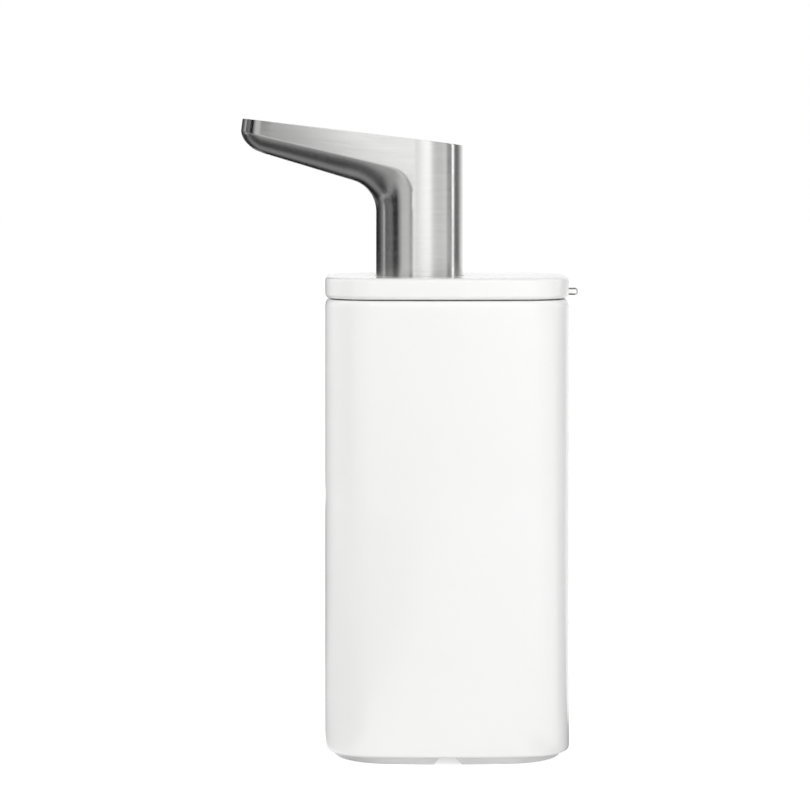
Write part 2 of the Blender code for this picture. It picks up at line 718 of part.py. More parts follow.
def make_lid_cover(lid):
    """White lid with a rounded lower corner, a hole for the post and a notch for the button."""
    profile = [(LID_SIDE_WALL, LID_CEILING), (LID_SIDE_WALL, LID_BOTTOM)]
    profile += arc(LID_BOTTOM_EDGE, LID_BOTTOM + LID_BOTTOM_EDGE, LID_BOTTOM_EDGE, 270, 180, EDGE_STEPS)
    profile += arc(LID_TOP_EDGE, LID_TOP - LID_TOP_EDGE, LID_TOP_EDGE, 180, 90, EDGE_STEPS)
    cover = mesh_object("lid_cover", loft_body(profile, False), (BODY_X, 0, 0), lid, "white_coat")
    hole = cylinder(BUSH_INSIDE, LID_CEILING - OVERRUN, LID_TOP + OVERRUN, POST_SIDES)
    combine(cover, cutter_object("post_hole", hole, (POST_X, 0, 0), lid), "DIFFERENCE")
    radius = BUTTON_HEIGHT / 2 + SLIDE_GAP
    shoulder = arc((BUTTON_WIDTH - BUTTON_HEIGHT) / 2, BUTTON_LEVEL, radius, 0, 90, EDGE_STEPS)
    half = [(shoulder[0][0], LID_BOTTOM - OVERRUN)] + shoulder
    outline = half + [(-y, z) for y, z in reversed(half)]
    start = BODY_WIDTH / 2 - LID_SIDE_WALL - OVERRUN / 2
    notch = extrude([(start, y, z) for y, z in outline], (LID_SIDE_WALL + OVERRUN, 0, 0))
    combine(cover, cutter_object("button_opening", notch, (BODY_X, 0, 0), lid), "DIFFERENCE")


def make_lid_carrier(lid):
    """Inner frame of the lid: plate, plug wall with the seal's groove, guide well and spring stand."""
    groove_inset = PLUG_OUTSIDE + SEAL_GROOVE_DEPTH
    groove_bottom = PLUG_BOTTOM + SEAL_GROOVE_LIFT
    groove_top = groove_bottom + SEAL_GROOVE_HEIGHT
    profile = [
        (CARRIER_INSET, CARRIER_TOP),
        (CARRIER_INSET, CARRIER_UNDERSIDE),
        (PLUG_OUTSIDE, CARRIER_UNDERSIDE),
        (PLUG_OUTSIDE, groove_top),
        (groove_inset, groove_top),
        (groove_inset, groove_bottom),
        (PLUG_OUTSIDE, groove_bottom),
        (PLUG_OUTSIDE, PLUG_BOTTOM),
        (PLUG_INSIDE, PLUG_BOTTOM),
        (PLUG_INSIDE, CARRIER_UNDERSIDE),
    ]
    carrier = mesh_object("lid_carrier", loft_body(profile, False), (BODY_X, 0, 0), lid, "white_plastic")
    middle = (CARRIER_TOP + CARRIER_UNDERSIDE) / 2
    well = cylinder(WELL_OUTSIDE, WELL_UNDERSIDE, middle, POST_SIDES)
    combine(carrier, cutter_object("well_outside", well, (POST_X, 0, 0), lid), "UNION")
    stand_end = LATCH_LEG_INNER - SEAT_GAP - LATCH_SPRING_LENGTH - SEAT_GAP
    half_stand = LATCH_SPRING_STAND_WIDTH / 2
    stand = box((stand_end - LATCH_SPRING_STAND, stand_end), (-half_stand, half_stand), (NOSE_BOTTOM, middle))
    combine(carrier, cutter_object("spring_stand", stand, (BODY_X, 0, 0), lid), "UNION")
    hole = NECK_RADIUS + SEAT_GAP
    bore = turn(
        [
            (0, WELL_UNDERSIDE - OVERRUN),
            (hole, WELL_UNDERSIDE - OVERRUN),
            (hole, WELL_TOP_OF_FLOOR),
            (WELL_INSIDE, WELL_TOP_OF_FLOOR),
            (WELL_INSIDE, CARRIER_TOP + OVERRUN),
            (0, CARRIER_TOP + OVERRUN),
        ],
        POST_SIDES,
        closed=False,
    )
    combine(carrier, cutter_object("well_bore", bore, (POST_X, 0, 0), lid), "DIFFERENCE")
    half_latch = LATCH_WIDTH / 2 + SLIDE_GAP
    wall_x = BODY_WIDTH / 2 - PLUG_INSIDE
    slot = box(
        (wall_x - LATCH_LEG_CLEARANCE / 2, wall_x + PLUG_WALL + SLIDE_GAP),
        (-half_latch, half_latch),
        (KEEPER_BOTTOM, CARRIER_UNDERSIDE + SLIDE_GAP / 2),
    )
    combine(carrier, cutter_object("latch_slot", slot, (BODY_X, 0, 0), lid), "DIFFERENCE")


def make_lid_gasket(lid):
    """Seal ring in the groove of the plug wall."""
    outer = PLUG_OUTSIDE
    inner = PLUG_OUTSIDE + SEAL_GROOVE_DEPTH - SEAT_GAP
    bottom = PLUG_BOTTOM + SEAL_GROOVE_LIFT + SEAT_GAP
    top = PLUG_BOTTOM + SEAL_GROOVE_LIFT + SEAL_GROOVE_HEIGHT - SEAT_GAP
    profile = [(outer, bottom), (outer, top), (inner, top), (inner, bottom)]
    mesh_object("lid_gasket", loft_body(profile, True), (BODY_X, 0, 0), lid, "seal_silicone")


def make_guide_bush(lid):
    """Thin liner in the top of the well, in which the post slides."""
    bush = ring(BUSH_INSIDE, BUSH_OUTSIDE, CARRIER_TOP - BUSH_LENGTH, CARRIER_TOP, POST_SIDES)
    mesh_object("guide_bush", bush, (POST_X, 0, 0), lid, "white_plastic")


# Pump parts that stay with the lid

def make_pump_barrel(lid):
    """Barrel with its flange, neck, valve chamber and the socket of the dip tube."""
    outside = BARREL_BORE + BARREL_WALL
    flange_bottom = BARREL_FLANGE_TOP - BARREL_FLANGE
    lower_radius = INLET_CHAMBER_RADIUS + INLET_WALL
    socket_radius = DIP_TUBE_RADIUS + SEAT_GAP
    socket_bottom = INLET_SEAT_BOTTOM - DIP_TUBE_SOCKET
    profile = [
        (BARREL_BORE, NECK_TOP),
        (NECK_RADIUS, NECK_TOP),
        (NECK_RADIUS, BARREL_FLANGE_TOP),
        (BARREL_FLANGE_RADIUS, BARREL_FLANGE_TOP),
        (BARREL_FLANGE_RADIUS, flange_bottom),
        (outside, flange_bottom),
        (outside, BARREL_INSIDE),
        (lower_radius, INLET_CEILING - BARREL_FLOOR),
        (lower_radius, socket_bottom),
        (socket_radius, socket_bottom),
        (socket_radius, INLET_SEAT_BOTTOM),
        (INLET_PORT, INLET_SEAT_BOTTOM),
        (INLET_PORT, INLET_SEAT_TOP),
        (INLET_CHAMBER_RADIUS, INLET_SEAT_TOP),
        (INLET_CHAMBER_RADIUS, INLET_CEILING),
        (INLET_PORT, INLET_CEILING),
        (INLET_PORT, BARREL_INSIDE),
        (BARREL_BORE, BARREL_INSIDE),
    ]
    mesh_object("pump_barrel", turn(profile, INNER_SIDES), (POST_X, 0, 0), lid, "white_plastic")


def make_barrel_cap(lid):
    """Cap on the barrel's neck, which guides the stem, stops the piston and carries the spring."""
    profile = [
        (NECK_RADIUS + SEAT_GAP, CAP_BOTTOM),
        (BARREL_CAP_RADIUS, CAP_BOTTOM),
        (BARREL_CAP_RADIUS, CAP_TOP),
        (STEM_RADIUS + SLIDE_GAP, CAP_TOP),
        (STEM_RADIUS + SLIDE_GAP, CAP_CEILING),
        (NECK_RADIUS + SEAT_GAP, CAP_CEILING),
    ]
    mesh_object("barrel_cap", turn(profile, INNER_SIDES), (POST_X, 0, 0), lid, "white_plastic")


def make_barrel_gasket(lid):
    """Flat seal between the barrel's flange and the underside of the well."""
    outer = BARREL_FLANGE_RADIUS - BARREL_GASKET_EDGE
    gasket = ring(NECK_RADIUS + SEAT_GAP, outer, GASKET_TOP - BARREL_GASKET, GASKET_TOP, INNER_SIDES)
    mesh_object("barrel_gasket", gasket, (POST_X, 0, 0), lid, "seal_silicone")


def ball(radius, port, seat):
    """A ball that rests on the rim of a round port."""
    bm = bmesh.new()
    bmesh.ops.create_uvsphere(bm, u_segments=SCREW_SIDES, v_segments=SCREW_SIDES // 2, radius=radius)
    height = seat + math.sqrt(radius ** 2 - port ** 2) + SEAT_GAP
    bmesh.ops.translate(bm, verts=bm.verts, vec=(0, 0, height))
    return bm


def make_inlet_ball(lid):
    """Check valve of the barrel."""
    valve = ball(INLET_BALL_RADIUS, INLET_PORT, INLET_SEAT_TOP)
    mesh_object("inlet_ball", valve, (POST_X, 0, 0), lid, "polished_steel")


def make_dip_tube(lid):
    """Straight tube from the barrel's socket to just above the floor of the reservoir."""
    top = INLET_SEAT_BOTTOM - SEAT_GAP
    bottom = TANK_INSIDE + DIP_TUBE_CLEARANCE
    tube = ring(DIP_TUBE_BORE, DIP_TUBE_RADIUS, bottom, top, SMALL_SIDES)
    mesh_object("dip_tube", tube, (POST_X, 0, 0), lid, "clear_plastic")


def make_return_spring(lid):
    """Coil between the barrel cap and the head core."""
    start = CAP_TOP + SEAT_GAP
    end = CORE_BOTTOM - SEAT_GAP
    points = helix_points(SPRING_RADIUS, start, end, SPRING_WIRE, SPRING_CURLS, SPRING_POINTS)
    spring_object("return_spring", points, SPRING_WIRE, SPRING_POINTS, (POST_X, 0, 0), lid)


def make_latch_spring(lid):
    """Small coil that pushes the latch and its button outward."""
    start = LATCH_LEG_INNER - SEAT_GAP - LATCH_SPRING_LENGTH
    end = LATCH_LEG_INNER - SEAT_GAP
    upright = helix_points(
        LATCH_SPRING_RADIUS, start, end, LATCH_SPRING_WIRE, LATCH_SPRING_CURLS, LATCH_SPRING_POINTS
    )
    level = (NOSE_TOP + NOSE_BOTTOM) / 2
    points = [Vector((point.z, point.y, level - point.x)) for point in upright]
    spring_object("latch_spring", points, LATCH_SPRING_WIRE, LATCH_SPRING_POINTS, (BODY_X, 0, 0), lid)


# Pump head

def top_height(x):
    """Height of the sloping top of the spout at a place along X."""
    return SPOUT_REAR_TOP + (POST_RADIUS - x) * math.tan(TOP_SLOPE)


def nose_end():
    """Where the rounded nose meets the straight underside."""
    return NOSE_RUN - ARM_REACH


def underside_line(x):
    """Height of the straight underside of the arm."""
    start = top_height(nose_end()) - NOSE_THICKNESS
    return start - (x - nose_end()) * math.tan(UNDERSIDE_SLOPE)


def underside_height(x):
    """Height of the underside, which rises to the crease round the nose."""
    if x >= nose_end():
        return underside_line(x)
    share = min((nose_end() - x) / NOSE_RUN, 1)
    rise = crease_height(-ARM_REACH) - underside_line(-ARM_REACH)
    return underside_line(x) + rise * (1 - math.sqrt(1 - share ** 2))


def crease_height(x):
    """Height of the crease between the flat side and the rounded underside of the arm."""
    start = top_height(-ARM_REACH) - TIP_SIDE_HEIGHT
    return start - (x + ARM_REACH) * math.tan(CREASE_SLOPE)


def crease_reach(pivot_x, pivot_z, angle):
    """Distance from the elbow's pivot to the crease, which runs on the slope, round a bend, then upright."""
    across, up = math.sin(angle), math.cos(angle)
    bend_x = upright_crease() - CREASE_RADIUS
    bend_z = crease_height(bend_x) - CREASE_RADIUS / math.cos(CREASE_SLOPE)
    sloping = (crease_height(pivot_x) - pivot_z) / (up + across * math.tan(CREASE_SLOPE))
    if pivot_x + sloping * across <= bend_x + CREASE_RADIUS * math.sin(CREASE_SLOPE):
        return sloping
    upright = (upright_crease() - pivot_x) / across
    if pivot_z + upright * up <= bend_z:
        return upright
    from_x, from_z = pivot_x - bend_x, pivot_z - bend_z
    along = from_x * across + from_z * up
    return math.sqrt(along ** 2 + CREASE_RADIUS ** 2 - from_x ** 2 - from_z ** 2) - along


def taper():
    """Angle in plan between the arm's flat side and its middle line."""
    return math.asin((POST_RADIUS - TIP_RADIUS) / (ARM_REACH - TIP_RADIUS))


def tip_end():
    """Where the round tip meets the flat side."""
    return TIP_RADIUS - ARM_REACH - TIP_RADIUS * math.sin(taper())


def elbow_start():
    """Where the underside of the arm starts to turn down into the post."""
    return -POST_RADIUS - ELBOW_RADIUS


def upright_crease():
    """Place along X of the crease down the post, where the flat side touches the round."""
    return -POST_RADIUS * math.sin(taper())


def side_width(x):
    """Half width of the arm in plan: the round tip, then the flat side."""
    if x <= tip_end():
        return math.sqrt(max(TIP_RADIUS ** 2 - (x + ARM_REACH - TIP_RADIUS) ** 2, 0))
    return (POST_RADIUS + x * math.sin(taper())) / math.cos(taper())


def top_corner(x):
    """Top of the side above a place on the crease; the round tip stands square to the sloping top."""
    share = min(max((elbow_start() - x) / (elbow_start() - tip_end()), 0), 1)
    top_x = x + share * (top_height(x) - crease_height(x)) * math.tan(TOP_SLOPE)
    width = side_width(x) if x <= tip_end() else side_width(top_x)
    return top_x, width, top_height(top_x)


def post_share(depth):
    """Shape of the post's round front: 1 at the crease, 0 at the middle line."""
    x = upright_crease() - depth * (POST_RADIUS + upright_crease())
    return math.sqrt(max(POST_RADIUS ** 2 - x ** 2, 0)) / side_width(x)


def arm_share(depth):
    """Shape of the arm's underside: a flattened arch that meets the side at an angle."""
    sharp = CREASE_SHARPNESS
    full = math.sqrt(1 - (sharp / (1 + sharp)) ** 2)
    return math.sqrt(max(1 - ((depth + sharp) / (1 + sharp)) ** 2, 0)) / full


def section(low, high, blend):
    """Half a section of the underside, from the middle line to the crease; both ends are points in XZ."""
    points = []
    for step in range(BAND_STEPS + 1):
        depth = math.cos(math.pi / 2 * step / BAND_STEPS)
        x = high[0] + (low[0] - high[0]) * depth
        z = high[1] + (low[1] - high[1]) * depth
        share = (1 - blend) * arm_share(depth) + blend * post_share(depth)
        points.append((x, side_width(x) * share, z))
    points[0] = (low[0], 0, low[1])
    return points


def spout_sections():
    """Half sections of the underside from the nose, round the elbow and down the post."""
    pivot_x = elbow_start()
    pivot_z = underside_line(pivot_x) - ELBOW_RADIUS / math.cos(UNDERSIDE_SLOPE)
    tip_centre = TIP_RADIUS - ARM_REACH
    places = [tip_centre - TIP_RADIUS * math.cos(math.radians(90 - math.degrees(taper())) * step / TIP_STEPS)
              for step in range(1, TIP_STEPS + 1)]
    places += [places[-1] + (pivot_x - places[-1]) * step / ARM_STEPS for step in range(1, ARM_STEPS)]
    sections = [section((x, underside_height(x)), (x, crease_height(x)), 0) for x in places]
    for step in range(ELBOW_STEPS + 1):
        share = step / ELBOW_STEPS
        angle = math.pi / 2 * share
        lean = max(UNDERSIDE_SLOPE - angle, 0)
        near = ELBOW_RADIUS / math.cos(lean)
        far = crease_reach(pivot_x, pivot_z, angle)
        low = (pivot_x + near * math.sin(angle), pivot_z + near * math.cos(angle))
        high = (pivot_x + far * math.sin(angle), pivot_z + far * math.cos(angle))
        sections.append(section(low, high, share * share * (3 - 2 * share)))
    sections.append([(x, y, POST_BOTTOM) for x, y, z in sections[-1]])
    return sections


def spout_skin():
    """Closed outside of the spout: rounded underside, upright sides, round back and sloping top."""
    bm = bmesh.new()
    sections = spout_sections()
    tip = bm.verts.new((-ARM_REACH, 0, crease_height(-ARM_REACH)))
    tip_top = bm.verts.new(top_corner(-ARM_REACH))
    middle = [bm.verts.new(points[0]) for points in sections]
    rims = []
    feet = []
    for side in (-1, 1):
        rows = []
        for index, points in enumerate(sections):
            rows.append([middle[index]] + [bm.verts.new((x, side * y, z)) for x, y, z in points[1:]])
        for step in range(BAND_STEPS):
            bm.faces.new((tip, rows[0][step], rows[0][step + 1]))
            for first, second in zip(rows, rows[1:]):
                bm.faces.new((first[step], second[step], second[step + 1], first[step + 1]))
        creases = [row[-1] for row in rows[:-1]]
        turned = [vert.co.x > upright_crease() - MERGE for vert in creases].index(True)
        corners = [top_corner(vert.co.x) for vert in creases[:turned + 1]]
        tops = [bm.verts.new((x, side * y, z)) for x, y, z in corners]
        bm.faces.new((tip, creases[0], tops[0], tip_top))
        for index in range(turned):
            bm.faces.new((creases[index], creases[index + 1], tops[index + 1], tops[index]))
        foot = rows[-1][-1]
        rear_feet = [foot]
        rear_tops = [tops[-1]]
        start = math.pi / 2 + taper()
        for step in range(1, REAR_STEPS):
            angle = start * (1 - step / REAR_STEPS)
            x = POST_RADIUS * math.cos(angle)
            y = side * POST_RADIUS * math.sin(angle)
            rear_feet.append(bm.verts.new((x, y, POST_BOTTOM)))
            rear_tops.append(bm.verts.new((x, y, top_height(x))))
        rims.append(tops + rear_tops[1:])
        feet.append(list(rows[-1][1:]) + rear_feet[1:])
        edge = [foot] + list(reversed(creases[turned:]))
        bm.faces.new(edge + [rear_tops[0], rear_tops[1], rear_feet[1]])
        for index in range(1, REAR_STEPS - 1):
            bm.faces.new((rear_feet[index], rear_tops[index], rear_tops[index + 1], rear_feet[index + 1]))
    back_foot = bm.verts.new((POST_RADIUS, 0, POST_BOTTOM))
    back_top = bm.verts.new((POST_RADIUS, 0, top_height(POST_RADIUS)))
    for rim, foot_row in zip(rims, feet):
        bm.faces.new((foot_row[-1], rim[-1], back_top, back_foot))
    top_loop = [tip_top] + rims[0] + [back_top] + list(reversed(rims[1]))
    bottom_loop = [middle[-1]] + feet[0] + [back_foot] + list(reversed(feet[1]))
    top = bm.faces.new(top_loop)
    bm.faces.new(bottom_loop)
    bmesh.ops.recalc_face_normals(bm, faces=bm.faces)
    bmesh.ops.bevel(bm, geom=list(top.edges), offset=TOP_EDGE_BREAK, segments=1, affect="EDGES")
    return bm


def channel_ends():
    """Ends of the straight channel through the arm: above the nozzle, and in the roof of the post."""
    nozzle_x = NOZZLE_INSET - ARM_REACH
    low = underside_height(nozzle_x) + POST_WALL
    high = top_height(nozzle_x) - POST_WALL
    return (nozzle_x, (low + high) / 2), (0, POST_BORE_TOP - OVERRUN)


def make_spout_head(pump):
    """Brushed steel spout: post and arm in one piece, bored for the core, the tube and the nozzle."""
    head = mesh_object("spout_head", spout_skin(), (POST_X, 0, 0), pump, "brushed_steel")
    bore = cylinder(POST_BORE, POST_BOTTOM - OVERRUN, POST_BORE_TOP, POST_SIDES)
    combine(head, cutter_object("post_bore", bore, (POST_X, 0, 0), pump), "DIFFERENCE")
    (nozzle_x, nozzle_z), (root_x, root_z) = channel_ends()
    length = math.hypot(root_x - nozzle_x, root_z - nozzle_z)
    channel = cylinder(SPOUT_CHANNEL_RADIUS, 0, length + SPOUT_CHANNEL_RADIUS, SMALL_SIDES)
    guide = cutter_object("spout_channel", channel, (POST_X + root_x, 0, root_z), pump)
    guide.rotation_euler = (0, -math.atan2(root_x - nozzle_x, nozzle_z - root_z), 0)
    combine(head, guide, "DIFFERENCE")
    hole = cylinder(NOZZLE_RADIUS + SEAT_GAP, underside_height(nozzle_x) - OVERRUN, nozzle_z, SMALL_SIDES)
    combine(head, cutter_object("nozzle_hole", hole, (POST_X + nozzle_x, 0, 0), pump), "DIFFERENCE")


def make_head_core(pump):
    """Moulded spool inside the post: socket for the stem below, socket for the spout tube on top."""
    stem_hole = STEM_RADIUS + SEAT_GAP
    tube_hole = SPOUT_TUBE_RADIUS + SEAT_GAP
    profile = [
        (stem_hole, CORE_BOTTOM),
        (CORE_RADIUS, CORE_BOTTOM),
        (CORE_RADIUS, CORE_BOTTOM + CORE_FLANGE),
        (CORE_HUB_RADIUS, CORE_BOTTOM + CORE_FLANGE),
        (CORE_HUB_RADIUS, CORE_TOP - CORE_FLANGE),
        (CORE_RADIUS, CORE_TOP - CORE_FLANGE),
        (CORE_RADIUS, CORE_TOP),
        (tube_hole, CORE_TOP),
        (tube_hole, CORE_TOP - CORE_TUBE_SOCKET),
        (STEM_BORE, CORE_TOP - CORE_TUBE_SOCKET),
        (STEM_BORE, STEM_TOP + SEAT_GAP),
        (stem_hole, STEM_TOP + SEAT_GAP),
    ]
    mesh_object("head_core", turn(profile, INNER_SIDES), (POST_X, 0, 0), pump, "white_plastic")


def make_spout_tube(pump):
    """Tube from the head core through the arm to the nozzle."""
    (nozzle_x, nozzle_z), (root_x, root_z) = channel_ends()
    run = Vector((nozzle_x - root_x, 0, nozzle_z - root_z))
    along = run.normalized()
    bend_end = Vector((root_x, 0, root_z)) + along * SPOUT_TUBE_BEND
    start = Vector((root_x, 0, CORE_TOP - CORE_TUBE_SOCKET + SEAT_GAP))
    corner = Vector((root_x, 0, root_z))
    bend_start = Vector((root_x, 0, (corner.z + CORE_TOP) / 2))
    path = [start]
    for step in range(SPOUT_TUBE_BEND_STEPS + 1):
        t = step / SPOUT_TUBE_BEND_STEPS
        path.append((1 - t) ** 2 * bend_start + 2 * t * (1 - t) * corner + t ** 2 * bend_end)
    clear = NOZZLE_RADIUS + SEAT_GAP + SPOUT_TUBE_RADIUS * abs(along.z)
    path.append(Vector((nozzle_x, 0, nozzle_z)) - along * clear)
    tube = hollow_tube([tuple(point) for point in path], SPOUT_TUBE_RADIUS, SPOUT_TUBE_BORE, TUBE_SIDES)
    mesh_object("spout_tube", tube, (POST_X, 0, 0), pump, "clear_plastic")


def make_nozzle_tip(pump):
    """Soft outlet in the underside of the arm, trimmed flush with it; its neck stands before the tube."""
    nozzle_x, nozzle_z = channel_ends()[0]
    bottom = underside_height(nozzle_x) - OVERRUN
    flange_bottom = underside_height(nozzle_x - NOZZLE_RADIUS) + POST_WALL
    profile = [
        (NOZZLE_BORE, bottom),
        (NOZZLE_RADIUS, bottom),
        (NOZZLE_RADIUS, flange_bottom),
        (NOZZLE_NECK_RADIUS, flange_bottom),
        (NOZZLE_NECK_RADIUS, nozzle_z),
        (NOZZLE_BORE, nozzle_z),
    ]
    nozzle = turn(profile, SMALL_SIDES)
    tip = mesh_object("nozzle_tip", nozzle, (POST_X + nozzle_x, 0, 0), pump, "grey_silicone")
    combine(tip, cutter_object("spout_outline", spout_skin(), (POST_X, 0, 0), pump), "INTERSECT")


def make_piston_stem(pump):
    """Hollow stem from the head core to the piston, with a wider chamber for the outlet ball."""
    chamber_top = STEM_BOTTOM + OUTLET_CHAMBER_LENGTH
    profile = [
        (OUTLET_CHAMBER_RADIUS, STEM_BOTTOM),
        (STEM_RADIUS, STEM_BOTTOM),
        (STEM_RADIUS, STEM_TOP),
        (STEM_BORE, STEM_TOP),
        (STEM_BORE, chamber_top),
        (OUTLET_CHAMBER_RADIUS, chamber_top),
    ]
    mesh_object("piston_stem", turn(profile, INNER_SIDES), (POST_X, 0, 0), pump, "white_plastic")


def make_piston_seal(pump):
    """Piston with two lips on the end of the stem; its floor is the seat of the outlet ball."""
    outer = BARREL_BORE - SLIDE_GAP
    waist = outer - PISTON_WAIST
    socket = STEM_RADIUS + SEAT_GAP
    profile = [
        (PISTON_PORT, PISTON_BOTTOM),
        (waist, PISTON_BOTTOM),
        (outer, PISTON_BOTTOM + PISTON_LIP),
        (outer, PISTON_BOTTOM + 2 * PISTON_LIP),
        (waist, PISTON_BOTTOM + 3 * PISTON_LIP),
        (waist, PISTON_TOP - 3 * PISTON_LIP),
        (outer, PISTON_TOP - 2 * PISTON_LIP),
        (outer, PISTON_TOP - PISTON_LIP),
        (waist, PISTON_TOP),
        (socket, PISTON_TOP),
        (socket, PISTON_BOTTOM + PISTON_FLOOR),
        (PISTON_PORT, PISTON_BOTTOM + PISTON_FLOOR),
    ]
    mesh_object("piston_seal", turn(profile, INNER_SIDES), (POST_X, 0, 0), pump, "seal_silicone")


def make_outlet_ball(pump):
    """Check valve inside the stem."""
    valve = ball(OUTLET_BALL_RADIUS, PISTON_PORT, PISTON_BOTTOM + PISTON_FLOOR)
    mesh_object("outlet_ball", valve, (POST_X, 0, 0), pump, "polished_steel")


# Button and latch

def make_release_button(press):
    """Polished pill that passes through the lid's notch, with ears that keep it in."""
    outline = pill(BUTTON_WIDTH, BUTTON_BOTTOM, BUTTON_TOP, EDGE_STEPS)
    bm = extrude([(BUTTON_INNER, y, z) for y, z in outline], (BUTTON_END - BUTTON_INNER, 0, 0))
    end_edges = [edge for edge in bm.edges if all(vert.co.x > BODY_WIDTH / 2 for vert in edge.verts)]
    bmesh.ops.bevel(bm, geom=end_edges, offset=BUTTON_EDGE, segments=EDGE_STEPS, profile=0.5, affect="EDGES")
    button = mesh_object("release_button", bm, (BODY_X, 0, 0), press, "polished_steel")
    inside = BUTTON_EDGE / 2
    half_ears = BUTTON_WIDTH / 2 + BUTTON_EAR
    ears = box(
        (BUTTON_INNER, BUTTON_INNER + BUTTON_EAR_THICKNESS),
        (-half_ears, half_ears),
        (BUTTON_BOTTOM + inside, BUTTON_TOP - inside),
    )
    combine(button, cutter_object("button_ears", ears, (BODY_X, 0, 0), press), "UNION")


def make_latch_bar(press):
    """Hook behind the button: bar under the carrier, leg, and nose in the keeper window."""
    bar_end = BUTTON_INNER - SEAT_GAP
    outline = [
        (LATCH_LEG_INNER, LATCH_TOP),
        (bar_end, LATCH_TOP),
        (bar_end, LATCH_BOTTOM),
        (LATCH_LEG_OUTER, LATCH_BOTTOM),
        (LATCH_LEG_OUTER, NOSE_TOP),
        (LATCH_NOSE_END, NOSE_TOP),
        (LATCH_NOSE_END, NOSE_TOP - LATCH_NOSE_LAND),
        (LATCH_LEG_OUTER, NOSE_BOTTOM),
        (LATCH_LEG_INNER, NOSE_BOTTOM),
    ]
    half = LATCH_WIDTH / 2
    bar = extrude([(x, -half, z) for x, z in outline], (0, LATCH_WIDTH, 0))
    mesh_object("latch_bar", bar, (BODY_X, 0, 0), press, "white_plastic")


def build_body():
    """Pieces that stand still."""
    make_outer_shell()
    make_base_plate()
    make_base_screws()
    make_reservoir()
    make_rim_collar()
    make_feet()


def build_lid(lid):
    """Pieces that lift off with the lid."""
    make_lid_cover(lid)
    make_lid_carrier(lid)
    make_lid_gasket(lid)
    make_guide_bush(lid)
    make_pump_barrel(lid)
    make_barrel_cap(lid)
    make_barrel_gasket(lid)
    make_inlet_ball(lid)
    make_dip_tube(lid)
    make_return_spring(lid)
    make_latch_spring(lid)


def build_pump_head(pump):
    """Pieces that go down when the spout is pressed."""
    make_spout_head(pump)
    make_head_core(pump)
    make_spout_tube(pump)
    make_nozzle_tip(pump)
    make_piston_stem(pump)
    make_piston_seal(pump)
    make_outlet_ball(pump)


def build_release(press):
    """Pieces that go in when the button is pressed."""
    make_release_button(press)
    make_latch_bar(press)


def main():
    """Build the whole dispenser."""
    clear_scene()
    lid = add_axis("lid_lift_axis", (BODY_X, 0, SHELL_TOP))
    pump = add_axis("pump_press_axis", (POST_X, 0, LID_TOP), lid)
    press = add_axis("button_press_axis", (BODY_X + BODY_WIDTH / 2, 0, BUTTON_LEVEL), lid)
    build_body()
    build_lid(lid)
    build_pump_head(pump)
    build_release(press)


main()
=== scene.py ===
"""Looks of the pump soap dispenser: smooth white body and lid, brushed steel spout, soft studio.

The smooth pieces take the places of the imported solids. Sizes and colours that a maker would change
are properties of the scene, and each group of pieces has its own operator.
"""

from math import asin, atan2, cos, degrees, hypot, pi, radians, sin, sqrt, tan, tau

import bmesh
import bpy
from bpy.props import FloatProperty, FloatVectorProperty, IntProperty, PointerProperty
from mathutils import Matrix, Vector


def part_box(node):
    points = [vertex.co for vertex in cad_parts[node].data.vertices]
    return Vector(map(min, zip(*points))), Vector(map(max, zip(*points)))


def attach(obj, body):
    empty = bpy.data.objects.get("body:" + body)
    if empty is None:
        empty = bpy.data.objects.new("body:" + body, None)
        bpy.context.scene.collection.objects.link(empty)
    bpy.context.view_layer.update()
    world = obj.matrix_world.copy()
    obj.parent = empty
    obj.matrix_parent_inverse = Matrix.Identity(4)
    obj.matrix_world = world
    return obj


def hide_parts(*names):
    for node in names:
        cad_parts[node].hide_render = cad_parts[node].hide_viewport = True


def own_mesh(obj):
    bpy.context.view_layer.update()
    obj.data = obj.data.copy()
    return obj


bl_info = {
    "name": "Soap Dispenser Looks",
    "version": (1, 0, 0),
    "blender": (4, 5, 0),
    "location": "View3D > Sidebar > Dispenser",
    "description": "Smooth pieces, finishes and a soft studio round the soap dispenser's solids",
    "category": "Object",
}

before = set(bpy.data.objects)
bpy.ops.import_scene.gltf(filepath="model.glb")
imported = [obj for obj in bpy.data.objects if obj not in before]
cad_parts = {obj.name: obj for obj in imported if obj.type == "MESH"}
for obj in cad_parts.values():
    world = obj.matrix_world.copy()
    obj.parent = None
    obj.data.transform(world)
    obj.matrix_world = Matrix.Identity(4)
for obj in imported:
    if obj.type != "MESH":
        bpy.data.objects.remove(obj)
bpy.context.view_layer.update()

SHELL_LOW, SHELL_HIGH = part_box("outer_shell")
LID_LOW, LID_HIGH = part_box("lid_cover")
SPOUT_LOW, SPOUT_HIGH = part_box("spout_head")
BUTTON_LOW, BUTTON_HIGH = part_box("release_button")
BUSH_LOW, BUSH_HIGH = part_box("guide_bush")
NOZZLE_LOW, NOZZLE_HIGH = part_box("nozzle_tip")
FOOT_LOW, FOOT_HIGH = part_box("foot_left")
RETURN_LOW, RETURN_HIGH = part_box("return_spring")
LATCH_LOW, LATCH_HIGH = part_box("latch_spring")

BODY_X = (SHELL_LOW.x + SHELL_HIGH.x) / 2
BODY_WIDTH = SHELL_HIGH.x - SHELL_LOW.x
BODY_DEPTH = SHELL_HIGH.y - SHELL_LOW.y
POST_X = (BUSH_LOW.x + BUSH_HIGH.x) / 2
POST_RADIUS = SPOUT_HIGH.x - POST_X
NOZZLE_X = (NOZZLE_LOW.x + NOZZLE_HIGH.x) / 2
NOZZLE_RADIUS = (NOZZLE_HIGH.x - NOZZLE_LOW.x) / 2
BUTTON_HEIGHT = BUTTON_HIGH.z - BUTTON_LOW.z
BUTTON_LEVEL = (BUTTON_HIGH.z + BUTTON_LOW.z) / 2

# Points closer than this are one
MERGE = 0.000001
